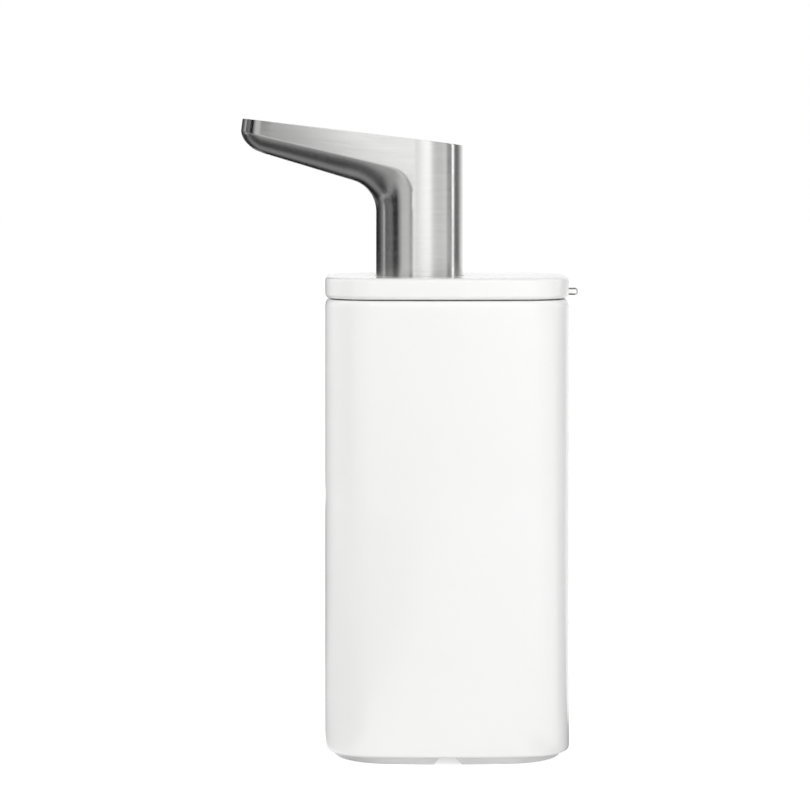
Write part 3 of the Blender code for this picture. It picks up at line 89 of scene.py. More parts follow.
# How far a cutting shape runs past what it cuts
OVERRUN = 0.002
# Slant of a normal from which a face of the spout counts as top or underside
UNDERSIDE_FALL = 0.05
BRUSH_MAP = "brushing"

# Steps of the smooth outlines
SIDE_STEPS = 5
CORNER_STEPS = 14
FRONT_STEPS = 8
EDGE_STEPS = 6
TIP_STEPS = 16
ARM_STEPS = 16
ELBOW_STEPS = 26
BAND_STEPS = 16
REAR_STEPS = 36
ROUND_STEPS = 64
NOZZLE_STEPS = 40
RETURN_CURL_STEPS = 30
LATCH_CURL_STEPS = 24
BREAK_STEPS = 2

# Angles in degrees above which an edge stays sharp
BODY_SHARP = 40
SPOUT_SHARP = 26
SMALL_SHARP = 30
# How far large faces keep their own shading beside small ones
FACE_WEIGHT = 60


def metres(name, description, default):
    """A length that the maker can change."""
    return FloatProperty(name=name, description=description, default=default, unit="LENGTH")


def slope(name, description, default):
    """An angle that the maker can change, given in degrees."""
    return FloatProperty(name=name, description=description, default=radians(default), subtype="ANGLE")


def turns(name, description, default):
    """A number of curls that the maker can change."""
    return IntProperty(name=name, description=description, default=default, min=2)


def tone(name, description, default):
    """A colour that the maker can change."""
    return FloatVectorProperty(name=name, description=description, default=default, subtype="COLOR")


class DispenserSizes(bpy.types.PropertyGroup):
    """Sizes of the smooth pieces."""

    front_radius: metres("Front Crown", "Radius of the crowned front and back", 0.214)
    side_radius: metres("Side Crown", "Radius of the crowned left and right sides", 0.300)
    corner_radius: metres("Corner Radius", "Radius of the body's upright corners", 0.015)
    shell_wall: metres("Shell Wall", "Thickness of the sleeve", 0.0012)
    shell_lip: metres("Shell Lip", "Width of the sleeve's inward lip", 0.0020)
    shoulder_depth: metres("Shoulder Depth", "How far the sleeve's upper edge rounds inward", 0.0013)
    shoulder_height: metres("Shoulder Height", "How far down the sleeve's upper edge starts to round", 0.0023)
    shell_bottom_edge: metres("Sleeve Bottom Edge", "Radius of the sleeve's lower edge", 0.0009)
    lid_wall: metres("Lid Wall", "Thickness of the lid's skirt", 0.0016)
    lid_roof: metres("Lid Roof", "Thickness of the lid's top", 0.0012)
    lid_top_edge: metres("Lid Top Edge", "Radius of the lid's upper edge", 0.0012)
    lid_bottom_edge: metres("Lid Bottom Edge", "Radius of the lid's lower edge", 0.0013)
    post_gap: metres("Post Gap", "Gap between the post and the lid", 0.0003)
    post_rise: metres("Post Rise", "Height of the spout above the lid", 0.0471)
    post_wall: metres("Post Wall", "Thickness of the post's wall", 0.0012)
    post_roof: metres("Post Roof", "Steel above the bore of the post", 0.0063)
    tip_radius: metres("Tip Radius", "Radius of the arm's round end in plan", 0.007)
    nose_run: metres("Nose Run", "Length of the curved nose", 0.0063)
    nose_thickness: metres("Nose Thickness", "Height of the arm behind the nose", 0.0096)
    tip_side: metres("Tip Side", "Height of the flat side at the tip", 0.00365)
    elbow_radius: metres("Elbow Radius", "Radius of the inner bend", 0.0096)
    crease_radius: metres("Crease Radius", "Radius of the crease's bend into the post", 0.0083)
    top_slope: slope("Top Slope", "Fall of the top towards the post", 6.95)
    crease_slope: slope("Crease Slope", "Fall of the crease towards the post", 13.5)
    underside_slope: slope("Underside Slope", "Fall of the underside towards the post", 16.8)
    crease_sharpness: FloatProperty(
        name="Crease Sharpness", description="How sharply the underside meets the flat side", default=0.5)
    edge_break: metres("Edge Break", "Width of the polished edge round the top", 0.00025)
    nozzle_bore: metres("Nozzle Bore", "Radius of the nozzle's bore", 0.0011)
    nozzle_neck: metres("Nozzle Neck", "Radius of the nozzle's neck", 0.0018)
    nozzle_collar: metres("Nozzle Collar", "Height of the nozzle's wide foot", 0.0020)
    nozzle_depth: metres("Nozzle Hole", "Depth of the hole for the nozzle", 0.0035)
    button_width: metres("Button Width", "Width of the release button", 0.0090)
    button_edge: metres("Button Edge", "Radius of the button's front edge", 0.0008)
    pad_corner: metres("Pad Corner", "Radius of the foot pads' corners in plan", 0.020)
    pad_taper: metres("Pad Taper", "How far the pads draw in towards the floor", 0.0010)
    pad_edge: metres("Pad Edge", "Radius of the pads' lower edge", 0.0005)
    channel_top: metres("Channel Top", "Width of the channel between the pads, at its top", 0.0043)
    channel_slant: metres("Channel Slant", "How far each wall of the channel leans", 0.0021)
    wire_radius: metres("Return Spring Wire", "Radius of the return spring's wire", 0.0005)
    latch_wire_radius: metres("Latch Spring Wire", "Radius of the latch spring's wire", 0.0002)
    return_curls: turns("Return Spring Curls", "Turns of the return spring", 7)
    latch_curls: turns("Latch Spring Curls", "Turns of the latch spring", 6)


class DispenserColours(bpy.types.PropertyGroup):
    """Base colours of the finishes."""

    coat: tone("White Coat", "Body and lid", (0.86, 0.86, 0.855))
    steel: tone("Brushed Steel", "Spout", (0.60, 0.60, 0.595))
    polished: tone("Polished Steel", "Button and balls", (0.70, 0.70, 0.69))
    wire: tone("Wire", "Springs and screws", (0.55, 0.56, 0.57))
    pads: tone("Pads", "Feet", (0.80, 0.80, 0.80))
    nozzle: tone("Nozzle", "Soft outlet under the arm", (0.22, 0.22, 0.23))
    seals: tone("Seals", "Gaskets and piston", (0.30, 0.32, 0.35))
    moulding: tone("Moulding", "Plain inner mouldings", (0.78, 0.78, 0.77))
    clear: tone("Clear Moulding", "Tank and tubes", (0.82, 0.86, 0.88))
    floor: tone("Floor", "Studio floor", (0.80, 0.80, 0.80))


# Finishes

class NodeSheet:
    """The nodes of a material or of the surroundings."""

    def __init__(self, owner):
        owner.use_nodes = True
        self.nodes = owner.node_tree.nodes
        self.links = owner.node_tree.links

    def feed(self, socket, value):
        """Link an input to another node, or set its number."""
        if isinstance(value, bpy.types.NodeSocket):
            self.links.new(value, socket)
        else:
            socket.default_value = value

    def fill(self, node, **inputs):
        """Feed a node's inputs by their names."""
        for name, value in inputs.items():
            self.feed(node.inputs[name.replace("_", " ").title().replace("Ior", "IOR")], value)

    def add(self, kind, **inputs):
        """Add a node and feed its inputs."""
        node = self.nodes.new("ShaderNode" + kind)
        self.fill(node, **inputs)
        return node

    def math(self, operation, first, second):
        """One sum of two values or numbers."""
        node = self.add("Math")
        node.operation = operation
        self.feed(node.inputs[0], first)
        self.feed(node.inputs[1], second)
        return node.outputs["Value"]

    def spread(self, value, low, high, start=0.0, end=1.0):
        """Map a value between two limits."""
        node = self.add("MapRange", value=value, from_min=start, from_max=end, to_min=low, to_max=high)
        return node.outputs["Result"]

    def seen(self):
        """1 for camera, glossy and transmission rays, 0 for the rays that light things."""
        path = self.add("LightPath").outputs
        direct = self.math("MAXIMUM", path["Is Camera Ray"], path["Is Glossy Ray"])
        return self.math("MAXIMUM", direct, path["Is Transmission Ray"])


class Finish(NodeSheet):
    """A procedural finish in object coordinates, in metres."""

    def __init__(self, name):
        self.material = bpy.data.materials.new(name)
        super().__init__(self.material)
        self.place = self.add("TexCoord").outputs["Object"]

    def noise(self, scale, detail, vector=None):
        """Soft noise between 0 and 1; three scales stretch it along X, Y and Z."""
        if vector is None:
            vector = self.place
        if isinstance(scale, tuple):
            vector = self.add("Mapping", vector=vector, scale=scale).outputs["Vector"]
            scale = 1.0
        return self.add("TexNoise", vector=vector, scale=scale, detail=detail).outputs["Fac"]

    def tint(self, value, colour, dark, light):
        """Mix two shares of a colour by a value."""
        node = self.add("Mix")
        node.data_type = "RGBA"
        self.fill(node, factor=value, a=shaded(colour, dark), b=shaded(colour, light))
        return node.outputs["Result"]

    def weighed(self, first, share, second, other_share):
        """Two values added, each by its share."""
        first = self.math("MULTIPLY", first, share)
        return self.math("ADD", first, self.math("MULTIPLY", second, other_share))

    def relief(self, height, strength, distance, **under):
        """Bump from a height, on top of another normal."""
        node = self.add("Bump", height=height, strength=strength, distance=distance, **under)
        return node.outputs["Normal"]

    def surface(self, **inputs):
        """Feed the shader's own sockets and give the material."""
        self.fill(self.nodes["Principled BSDF"], **inputs)
        return self.material


def shaded(colour, share):
    """The colour made darker or lighter by a share, and opaque."""
    return (*(min(channel * share, 1.0) for channel in colour), 1.0)


def glossy_coat(name, colour):
    """White lacquer with a faint orange peel and a slightly uneven gloss."""
    finish = Finish(name)
    peel = finish.relief(finish.noise(620, 1), 0.05, 0.0001)
    return finish.surface(
        metallic=0,
        coat_weight=0.30,
        coat_roughness=0.05,
        base_color=finish.tint(finish.noise(16, 3), colour, 0.985, 1.015),
        roughness=finish.spread(finish.noise(60, 4), 0.17, 0.25),
        normal=finish.relief(finish.noise(5200, 2), 0.02, 0.00003, normal=peel),
    )


def brushed_steel(name, colour):
    """Steel brushed along the marks that its map lays: U runs along them and V counts across them."""
    finish = Finish(name)
    parts = finish.add("SeparateXYZ", vector=finish.place).outputs
    marks = finish.add("UVMap")
    marks.uv_map = BRUSH_MAP
    lines = finish.add("SeparateXYZ", vector=marks.outputs["UV"]).outputs
    grain = finish.add("CombineXYZ", x=parts["X"], y=parts["Y"], z=lines["Y"]).outputs["Vector"]
    tangent = finish.add("Tangent")
    tangent.direction_type = "UV_MAP"
    tangent.uv_map = BRUSH_MAP
    hair = finish.noise((70, 70, 5200), 5, grain)
    scratch = finish.noise((160, 160, 12000), 3, grain)
    smear = finish.noise((45, 45, 900), 3, grain)
    shade = finish.spread(finish.weighed(hair, 0.7, finish.noise(45, 3), 0.3), 0, 1, 0.3, 0.7)
    return finish.surface(
        metallic=1,
        anisotropic=0.80,
        anisotropic_rotation=0.25,
        base_color=finish.tint(shade, colour, 0.95, 1.05),
        roughness=finish.spread(finish.weighed(smear, 0.7, scratch, 0.3), 0.18, 0.24, 0.3, 0.7),
        normal=finish.relief(finish.weighed(hair, 1, scratch, 0.5), 0.035, 0.00002),
        tangent=tangent.outputs["Tangent"],
    )


def grained(name, colour, cloud, shares, grain, gloss, bump, **inputs):
    """Finish with a cloud in its colour, and a grain in its gloss and its bump.

    Cloud and grain give scale and detail, shares and gloss two limits, and bump strength and depth.
    """
    finish = Finish(name)
    marks = finish.noise(*grain)
    return finish.surface(
        base_color=finish.tint(finish.noise(*cloud), colour, *shares),
        roughness=finish.spread(marks, *gloss),
        normal=finish.relief(marks, *bump),
        **inputs,
    )


def polished_steel(name, colour):
    """Polished steel with faint wiping marks."""
    return grained(name, colour, cloud=(380, 3), shares=(0.94, 1.05), grain=((900, 9000, 900), 3),
                   gloss=(0.07, 0.17), bump=(0.04, 0.00001), metallic=1)


def wire_steel(name, colour):
    """Drawn steel with fine rings of wear."""
    return grained(name, colour, cloud=(260, 2), shares=(0.82, 1.12), grain=((2500, 2500, 700), 4),
                   gloss=(0.20, 0.38), bump=(0.12, 0.00002), metallic=1)


def soft_silicone(name, colour):
    """Matte silicone with a fine moulded grain."""
    return grained(name, colour, cloud=(90, 3), shares=(0.94, 1.05), grain=(4200, 3),
                   gloss=(0.52, 0.70), bump=(0.15, 0.00004), metallic=0, specular_ior_level=0.35)


def plain_moulding(name, colour):
    """White moulding with a light spark texture and faint flow marks."""
    return grained(name, colour, cloud=((30, 30, 90), 3), shares=(0.95, 1.04), grain=(2600, 3),
                   gloss=(0.36, 0.50), bump=(0.08, 0.00003), metallic=0)


def clear_moulding(name, colour):
    """Frosted clear plastic."""
    return grained(name, colour, cloud=(40, 3), shares=(0.96, 1.04), grain=(3000, 3),
                   gloss=(0.22, 0.36), bump=(0.06, 0.00003), metallic=0, ior=1.49, transmission_weight=0.55)


# Shapes

def arc(centre_a, centre_b, radius, start, end, steps=EDGE_STEPS):
    """Points of an arc, from one angle in degrees to another."""
    points = []
    for step in range(steps + 1):
        angle = radians(start + (end - start) * step / steps)
        points.append((centre_a + radius * cos(angle), centre_b + radius * sin(angle)))
    return points


def body_outline(sizes, inset, corner):
    """The body's plan about its middle: crowned sides joined by corner arcs."""
    front = sizes.front_radius - corner
    side = sizes.side_radius - corner
    front_y = BODY_DEPTH / 2 - sizes.front_radius
    side_x = BODY_WIDTH / 2 - sizes.side_radius
    distance = hypot(side_x, front_y)
    along = (front ** 2 - side ** 2 + distance ** 2) / (2 * distance)
    across = sqrt(front ** 2 - along ** 2)
    toward_x = side_x / distance
    toward_y = -front_y / distance
    centre_x = along * toward_x + across * toward_y
    centre_y = front_y + along * toward_y - across * toward_x
    side_end = degrees(atan2(centre_y, centre_x - side_x))
    front_end = degrees(atan2(centre_y - front_y, centre_x))
    quarter = arc(side_x, 0, sizes.side_radius - inset, 0, side_end, SIDE_STEPS)
    quarter += arc(centre_x, centre_y, corner - inset, side_end, front_end, CORNER_STEPS)[1:]
    quarter += arc(0, front_y, sizes.front_radius - inset, front_end, 90, FRONT_STEPS)[1:]
    half = quarter + [(-x, y) for x, y in reversed(quarter[:-1])]
    return half + [(x, -y) for x, y in reversed(half[1:-1])]


def join_rows(bm, rows, closed=False):
    """Fill the bands between rows of corners, which run all round if closed."""
    for first, second in zip(rows, rows[1:]):
        for index in range(0 if closed else 1, len(first)):
            bm.faces.new((first[index - 1], first[index], second[index], second[index - 1]))


def loft_body(sizes, profile, closed, corner):
    """Loft the body's plan through pairs of inset and height."""
    bm = bmesh.new()
    loops = []
    for inset, z in profile:
        loops.append([bm.verts.new((x + BODY_X, y, z)) for x, y in body_outline(sizes, inset, corner)])
    join_rows(bm, loops, True)
    if closed:
        join_rows(bm, (loops[-1], loops[0]), True)
    else:
        bm.faces.new(loops[0])
        bm.faces.new(loops[-1])
    return bm


def turn(profile, place_x, closed, steps=ROUND_STEPS):
    """Turn pairs of radius and height about an upright axis; an open profile starts and ends on it."""
    bm = bmesh.new()
    verts = [bm.verts.new((radius, 0, z)) for radius, z in profile]
    edges = [bm.edges.new(pair) for pair in zip(verts, verts[1:])]
    if closed:
        edges.append(bm.edges.new((verts[-1], verts[0])))
    bmesh.ops.spin(bm, geom=verts + edges, cent=(0, 0, 0), axis=(0, 0, 1), angle=tau, steps=steps)
    bmesh.ops.remove_doubles(bm, verts=bm.verts, dist=MERGE)
    bmesh.ops.translate(bm, verts=bm.verts, vec=(place_x, 0, 0))
    return bm


def bore(item, place_x, radius, low, high):
    """Cut a round upright hole."""
    combine(item, turn([(0, low), (radius, low), (radius, high), (0, high)], place_x, False))


def extrude(points, path):
    """Extrude a flat outline along a vector."""
    bm = bmesh.new()
    face = bm.faces.new([bm.verts.new(point) for point in points])
    moved = bmesh.ops.extrude_face_region(bm, geom=[face])["geom"]
    bmesh.ops.translate(bm, verts=[part for part in moved if isinstance(part, bmesh.types.BMVert)], vec=path)
    return bm


def break_edges(bm, edges, width, steps):
    """Round edges over a width."""
    bmesh.ops.bevel(bm, geom=edges, offset=width, segments=steps, profile=0.5, affect="EDGES")


def add_object(name, data):
    """Put an object into the scene."""
    item = bpy.data.objects.new(name, data)
    bpy.context.scene.collection.objects.link(item)
    return item


def mesh_object(name, bm):
    """Put a bmesh into the scene as an object."""
    bmesh.ops.recalc_face_normals(bm, faces=bm.faces)
    mesh = bpy.data.meshes.new(name)
    bm.to_mesh(mesh)
    bm.free()
    return add_object(name, mesh)


def final_mesh(item):
    """The object's mesh as its modifiers or its curve give it."""
    bpy.context.view_layer.update()
    return bpy.data.meshes.new_from_object(item.evaluated_get(bpy.context.evaluated_depsgraph_get()))


def apply_modifiers(item):
    """Write the modifiers' result into the object's mesh."""
    mesh = final_mesh(item)
    item.modifiers.clear()
    item.data = mesh


def combine(item, bm, operation="DIFFERENCE"):
    """Cut by an exact Boolean with a passing solid, or keep what they share."""
    tool = mesh_object(item.name + "_tool", bm)
    boolean = item.modifiers.new("boolean", "BOOLEAN")
    boolean.object = tool
    boolean.operation = operation
    boolean.solver = "EXACT"
    apply_modifiers(item)
    bpy.data.objects.remove(tool, do_unlink=True)


def smooth(item, angle):
    """Smooth shading with edges kept sharp above an angle, and flat faces kept flat."""
    item.data.shade_smooth()
    item.data.set_sharp_from_angle(angle=radians(angle))
    weighted = item.modifiers.new("weighted_normals", "WEIGHTED_NORMAL")
    weighted.keep_sharp = True
    weighted.weight = FACE_WEIGHT
    apply_modifiers(item)


def dress(item, material, body, node):
    """Give a piece its finish and let it stand for its solid."""
    item.data.materials.clear()
    item.data.materials.append(material)
    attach(item, body)
    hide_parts(node)


def repaint(material, *nodes):
    """Give solids that stay as they are a better finish."""
    for node in nodes:
        for material_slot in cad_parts[node].material_slots:
            material_slot.material = material


# Spout

class SpoutForm:
    """Curves of the spout about the axis of its post."""

    def __init__(self, sizes):
        self.sizes = sizes
        self.reach = POST_X - SPOUT_LOW.x
        self.rear_top = LID_HIGH.z + sizes.post_rise - (self.reach + POST_RADIUS) * tan(sizes.top_slope)
        self.nose_end = sizes.nose_run - self.reach
        self.taper = asin((POST_RADIUS - sizes.tip_radius) / (self.reach - sizes.tip_radius))
        self.tip_end = sizes.tip_radius - self.reach - sizes.tip_radius * sin(self.taper)
        self.upright_crease = -POST_RADIUS * sin(self.taper)
        self.pivot_x = -POST_RADIUS - sizes.elbow_radius
        self.pivot_z = self.underside_line(self.pivot_x) - sizes.elbow_radius / cos(sizes.underside_slope)

    def top(self, x):
        """Height of the sloping top."""
        return self.rear_top + (POST_RADIUS - x) * tan(self.sizes.top_slope)

    def crease(self, x):
        """Height of the crease between the flat side and the underside."""
        return self.top(-self.reach) - self.sizes.tip_side - (x + self.reach) * tan(self.sizes.crease_slope)

    def underside_line(self, x):
        """Height of the straight underside."""
        start = self.top(self.nose_end) - self.sizes.nose_thickness
        return start - (x - self.nose_end) * tan(self.sizes.underside_slope)

    def underside(self, x):
        """Height of the underside, which rises to the crease round the nose."""
        if x >= self.nose_end:
            return self.underside_line(x)
        share = min((self.nose_end - x) / self.sizes.nose_run, 1)
        rise = self.crease(-self.reach) - self.underside_line(-self.reach)
        return self.underside_line(x) + rise * (1 - sqrt(1 - share ** 2))

    def half_width(self, x):
        """Half width in plan: the round tip, then the flat side."""
        if x <= self.tip_end:
            radius = self.sizes.tip_radius
            return sqrt(max(radius ** 2 - (x + self.reach - radius) ** 2, 0))
        return (POST_RADIUS + x * sin(self.taper)) / cos(self.taper)

    def top_corner(self, x):
        """Top of the side above a place on the crease; the round tip stands square to the sloping top."""
        share = min(max((self.pivot_x - x) / (self.pivot_x - self.tip_end), 0), 1)
        top_x = x + share * (self.top(x) - self.crease(x)) * tan(self.sizes.top_slope)
        return top_x, self.half_width(x if x <= self.tip_end else top_x), self.top(top_x)

    def crease_reach(self, across, up):
        """Distance from the elbow's pivot to the crease, which slopes, bends and then runs upright."""
        radius = self.sizes.crease_radius
        fall = self.sizes.crease_slope
        bend_x = self.upright_crease - radius
        bend_z = self.crease(bend_x) - radius / cos(fall)
        sloping = (self.crease(self.pivot_x) - self.pivot_z) / (up + across * tan(fall))
        if self.pivot_x + sloping * across <= bend_x + radius * sin(fall):
            return sloping
        upright = (self.upright_crease - self.pivot_x) / across
        if self.pivot_z + upright * up <= bend_z:
            return upright
        from_x, from_z = self.pivot_x - bend_x, self.pivot_z - bend_z
        along = from_x * across + from_z * up
        return sqrt(along ** 2 + radius ** 2 - from_x ** 2 - from_z ** 2) - along

    def post_share(self, depth):
        """Shape of the post's round front: 1 at the crease, 0 at the middle line."""
        x = self.upright_crease - depth * (POST_RADIUS + self.upright_crease)
        return sqrt(max(POST_RADIUS ** 2 - x ** 2, 0)) / self.half_width(x)

    def arm_share(self, depth):
        """Shape of the arm's underside: a flattened arch that meets the side at an angle."""
        sharp = self.sizes.crease_sharpness
        full = sqrt(1 - (sharp / (1 + sharp)) ** 2)
        return sqrt(max(1 - ((depth + sharp) / (1 + sharp)) ** 2, 0)) / full

    def run(self, place):
        """Distance along the middle line from the elbow's start, kept by the marks on the underside."""
        from_x = place.x - POST_X - self.pivot_x
        from_z = place.z - self.pivot_z
        if from_x < 0:
            return from_x
        if from_z < 0:
            return self.sizes.elbow_radius * pi / 2 - from_z
        return self.sizes.elbow_radius * atan2(from_x, from_z)

    def level(self, place):
        """Height kept by the marks on the sides: level on the post, along the slope on the arm."""
        return place.z + min(place.x - POST_X + POST_RADIUS, 0) * tan(self.sizes.top_slope)

    def section(self, low, high, blend):
        """Half a section of the underside, from the middle line to the crease."""
        points = []
        for step in range(BAND_STEPS + 1):
            depth = cos(pi / 2 * step / BAND_STEPS)
            x = high[0] + (low[0] - high[0]) * depth
            z = high[1] + (low[1] - high[1]) * depth
            share = (1 - blend) * self.arm_share(depth) + blend * self.post_share(depth)
            points.append((x, self.half_width(x) * share, z))
        points[0] = (low[0], 0, low[1])
        return points

    def sections(self):
        """Half sections from the nose, round the elbow and down the post."""
        radius = self.sizes.tip_radius
        angles = [(pi / 2 - self.taper) * step / TIP_STEPS for step in range(1, TIP_STEPS + 1)]
        places = [radius - self.reach - radius * cos(angle) for angle in angles]
        start = places[-1]
        places += [start + (self.pivot_x - start) * step / ARM_STEPS for step in range(1, ARM_STEPS)]
        rows = [self.section((x, self.underside(x)), (x, self.crease(x)), 0) for x in places]
        for step in range(ELBOW_STEPS + 1):
            share = step / ELBOW_STEPS
            angle = pi / 2 * share
            across, up = sin(angle), cos(angle)
            near = self.sizes.elbow_radius / cos(max(self.sizes.underside_slope - angle, 0))
            far = self.crease_reach(across, up)
            low, high = [(self.pivot_x + away * across, self.pivot_z + away * up) for away in (near, far)]
            rows.append(self.section(low, high, share * share * (3 - 2 * share)))
        rows.append([(x, y, SPOUT_LOW.z) for x, y, z in rows[-1]])
        return rows

    def skin(self):
        """Closed outside of the spout, with its top edge broken."""
        bm = bmesh.new()
        rows_of_points = self.sections()
        tip = bm.verts.new((-self.reach, 0, self.crease(-self.reach)))
        tip_top = bm.verts.new(self.top_corner(-self.reach))
        middle = [bm.verts.new(points[0]) for points in rows_of_points]
        rims = []
        feet = []
        for side in (-1, 1):
            rows = []
            for index, points in enumerate(rows_of_points):
                rows.append([middle[index]] + [bm.verts.new((x, side * y, z)) for x, y, z in points[1:]])
            for pair in zip(rows[0], rows[0][1:]):
                bm.faces.new((tip, *pair))
            join_rows(bm, rows)
            creases = [row[-1] for row in rows[:-1]]
            turned = [vert.co.x > self.upright_crease - MERGE for vert in creases].index(True)
            corners = [self.top_corner(vert.co.x) for vert in creases[:turned + 1]]
            tops = [bm.verts.new((x, side * y, z)) for x, y, z in corners]
            bm.faces.new((tip, creases[0], tops[0], tip_top))
            join_rows(bm, (creases[:turned + 1], tops))
            rear_feet = []
            rear_tops = []
            start = pi / 2 + self.taper
            for step in range(1, REAR_STEPS):
                angle = start * (1 - step / REAR_STEPS)
                x = POST_RADIUS * cos(angle)
                y = side * POST_RADIUS * sin(angle)
                rear_feet.append(bm.verts.new((x, y, SPOUT_LOW.z)))
                rear_tops.append(bm.verts.new((x, y, self.top(x))))
            bm.faces.new([rows[-1][-1]] + creases[:turned - 1:-1] + [tops[-1], rear_tops[0], rear_feet[0]])
            join_rows(bm, (rear_feet, rear_tops))
            rims.append(tops + rear_tops)
            feet.append(rows[-1][1:] + rear_feet)
        back_foot = bm.verts.new((POST_RADIUS, 0, SPOUT_LOW.z))
        back_top = bm.verts.new((POST_RADIUS, 0, self.top(POST_RADIUS)))
        for rim, foot_row in zip(rims, feet):
            bm.faces.new((foot_row[-1], rim[-1], back_top, back_foot))
        top = bm.faces.new([tip_top] + rims[0] + [back_top] + rims[1][::-1])
        bm.faces.new([middle[-1]] + feet[0] + [back_foot] + feet[1][::-1])
        bmesh.ops.recalc_face_normals(bm, faces=bm.faces)
        break_edges(bm, list(top.edges), self.sizes.edge_break, BREAK_STEPS)
        bmesh.ops.translate(bm, verts=bm.verts, vec=(POST_X, 0, 0))
        return bm


def map_brushing(item, form):
    """Lay a map whose U runs along the brush marks and whose V counts across them.

    The marks run level on the sides, along the arm on top, and square to the middle line below.
    """
    layer = item.data.uv_layers.new(name=BRUSH_MAP)
    for face in item.data.polygons:
        normal = face.normal
        measure = form.run if normal.z < -UNDERSIDE_FALL else form.level
        if normal.z > UNDERSIDE_FALL:
            along = Vector((1, 0, 0))
        else:
            along = normal.cross(Vector((normal.z, 0, -normal.x)).normalized())
        for loop_index in face.loop_indices:
            place = item.data.vertices[item.data.loops[loop_index].vertex_index].co
            layer.data[loop_index].uv = (place.dot(along), measure(place))


# Springs

def helix(radius, start, end, wire, curls, points_per_curl):
    """Centre line of a spring along Z, with a short straight run at each end."""
    count = curls * points_per_curl
    low = start + wire
    high = end - wire
    points = []
    for step in range(count + 1):
        angle = tau * step / points_per_curl
        z = low + (high - low) * step / count
        points.append(Vector((radius * cos(angle), radius * sin(angle), z)))
    first = (points[0] - points[1]).normalized() * (2 * wire)
    last = (points[-1] - points[-2]).normalized() * (2 * wire)
    first.z = 0
    last.z = 0
    return [points[0] + first] + points + [points[-1] + last]


def spring_mesh(name, points, wire):
    """A round wire along the points, as a mesh."""
    curve = bpy.data.curves.new(name + "_path", "CURVE")
    curve.dimensions = "3D"
    curve.bevel_depth = wire
    curve.bevel_resolution = 3
    curve.use_fill_caps = True
    spline = curve.splines.new("POLY")
    spline.points.add(len(points) - 1)
    for target, point in zip(spline.points, points):
        target.co = (*point, 1)
    path = add_object(name + "_path", curve)
    mesh = final_mesh(path)
    mesh.shade_smooth()
    bpy.data.objects.remove(path, do_unlink=True)
    return add_object(name, mesh)


# Studio

WHITE = (1.0, 1.0, 1.0, 1.0)
FLOOR_RADIUS = 9.0
# The floor's own glow near and far, and how far from the middle that is
FLOOR_GLOW = (0.66, 0.75)
FLOOR_REACH = (0.25, 1.40)

# Light of the surroundings at the horizon and overhead
WORLD_SIDE = 0.72
WORLD_ABOVE = 0.20


def studio_floor(colour):
    """Wide pale floor that shows white to the camera and to reflections, and keeps the shadow."""
    bm = bmesh.new()
    bmesh.ops.create_circle(bm, cap_ends=True, segments=ROUND_STEPS, radius=FLOOR_RADIUS)
    floor = mesh_object("studio_floor", bm)
    finish = Finish("studio_floor")
    distance = finish.add("VectorMath", vector=finish.place)
    distance.operation = "LENGTH"
    glow = finish.spread(distance.outputs["Value"], *FLOOR_GLOW, *FLOOR_REACH)
    floor.data.materials.append(finish.surface(
        base_color=(*colour, 1.0),
        roughness=0.9,
        specular_ior_level=0.0,
        emission_color=WHITE,
        emission_strength=finish.math("MULTIPLY", finish.seen(), glow),
    ))


def studio_world():
    """White surroundings to look at, and a soft light from all round that is weaker overhead."""
    world = bpy.data.worlds.new("studio_world")
    bpy.context.scene.world = world
    sheet = NodeSheet(world)
    around = sheet.add("TexCoord").outputs["Generated"]
    light = sheet.spread(sheet.add("SeparateXYZ", vector=around).outputs["Z"], WORLD_SIDE, WORLD_ABOVE)
    sheet.fill(sheet.nodes["Background"], color=WHITE, strength=sheet.spread(sheet.seen(), light, 1.0))


# Name, place, width, height and power of each lamp
LAMPS = (
    ("front_lamp", (0.56, -1.00, 0.14), 0.9, 0.9, 6.5),
    ("high_lamp", (0.05, -0.80, 0.95), 0.7, 0.7, 4.5),
    ("left_lamp", (-1.00, 0.30, 0.25), 0.7, 0.9, 7.2),
    ("top_lamp", (0.0, 0.05, 1.25), 0.8, 0.8, 0.8),
)
LAMP_TARGET = (BODY_X, 0.0, 0.09)


def add_lamp(name, place, width, height, power):
    """Soft rectangular lamp aimed at the body; reflections come from the light tent instead."""
    data = bpy.data.lights.new(name, "AREA")
    data.shape = "RECTANGLE"
    data.size = width
    data.size_y = height
    data.energy = power
    lamp = add_object(name, data)
    lamp.location = place
    lamp.rotation_euler = (Vector(LAMP_TARGET) - Vector(place)).to_track_quat("-Z", "Y").to_euler()
    lamp.visible_glossy = False
    lamp.visible_transmission = False


def tent_glow():
    """Glow of the light tent and the cards, as bright as their attribute says."""
    material = bpy.data.materials.new("light_tent")
    sheet = NodeSheet(material)
    sheet.nodes.remove(sheet.nodes["Principled BSDF"])
    level = sheet.add("Attribute")
    level.attribute_name = "brightness"
    glow = sheet.add("Emission", strength=level.outputs["Fac"])
    sheet.fill(sheet.nodes["Material Output"], surface=glow.outputs["Emission"])
    material.cycles.emission_sampling = "NONE"
    return material


def reflected_sheet(name, rows, glow, closed=False):
    """Glowing sheet through rows of places with their brightness, which only reflections see."""
    bm = bmesh.new()
    layer = bm.verts.layers.float.new("brightness")
    loops = []
    for row in rows:
        loops.append([bm.verts.new(place) for place, _ in row])
        for vert, (_, brightness) in zip(loops[-1], row):
            vert[layer] = brightness
    join_rows(bm, loops, closed)
    sheet = mesh_object(name, bm)
    sheet.data.materials.append(glow)
    sheet.visible_camera = False
    sheet.visible_diffuse = False
    sheet.visible_transmission = False
    sheet.visible_volume_scatter = False
    sheet.visible_shadow = False


def profile_level(profile, angle):
    """Brightness between the listed directions, in straight lines."""
    index = next(index for index, (end, _) in enumerate(profile[1:]) if angle <= end)
    (start, low), (end, high) = profile[index:index + 2]
    return low + (high - low) * (angle - start) / (end - start)


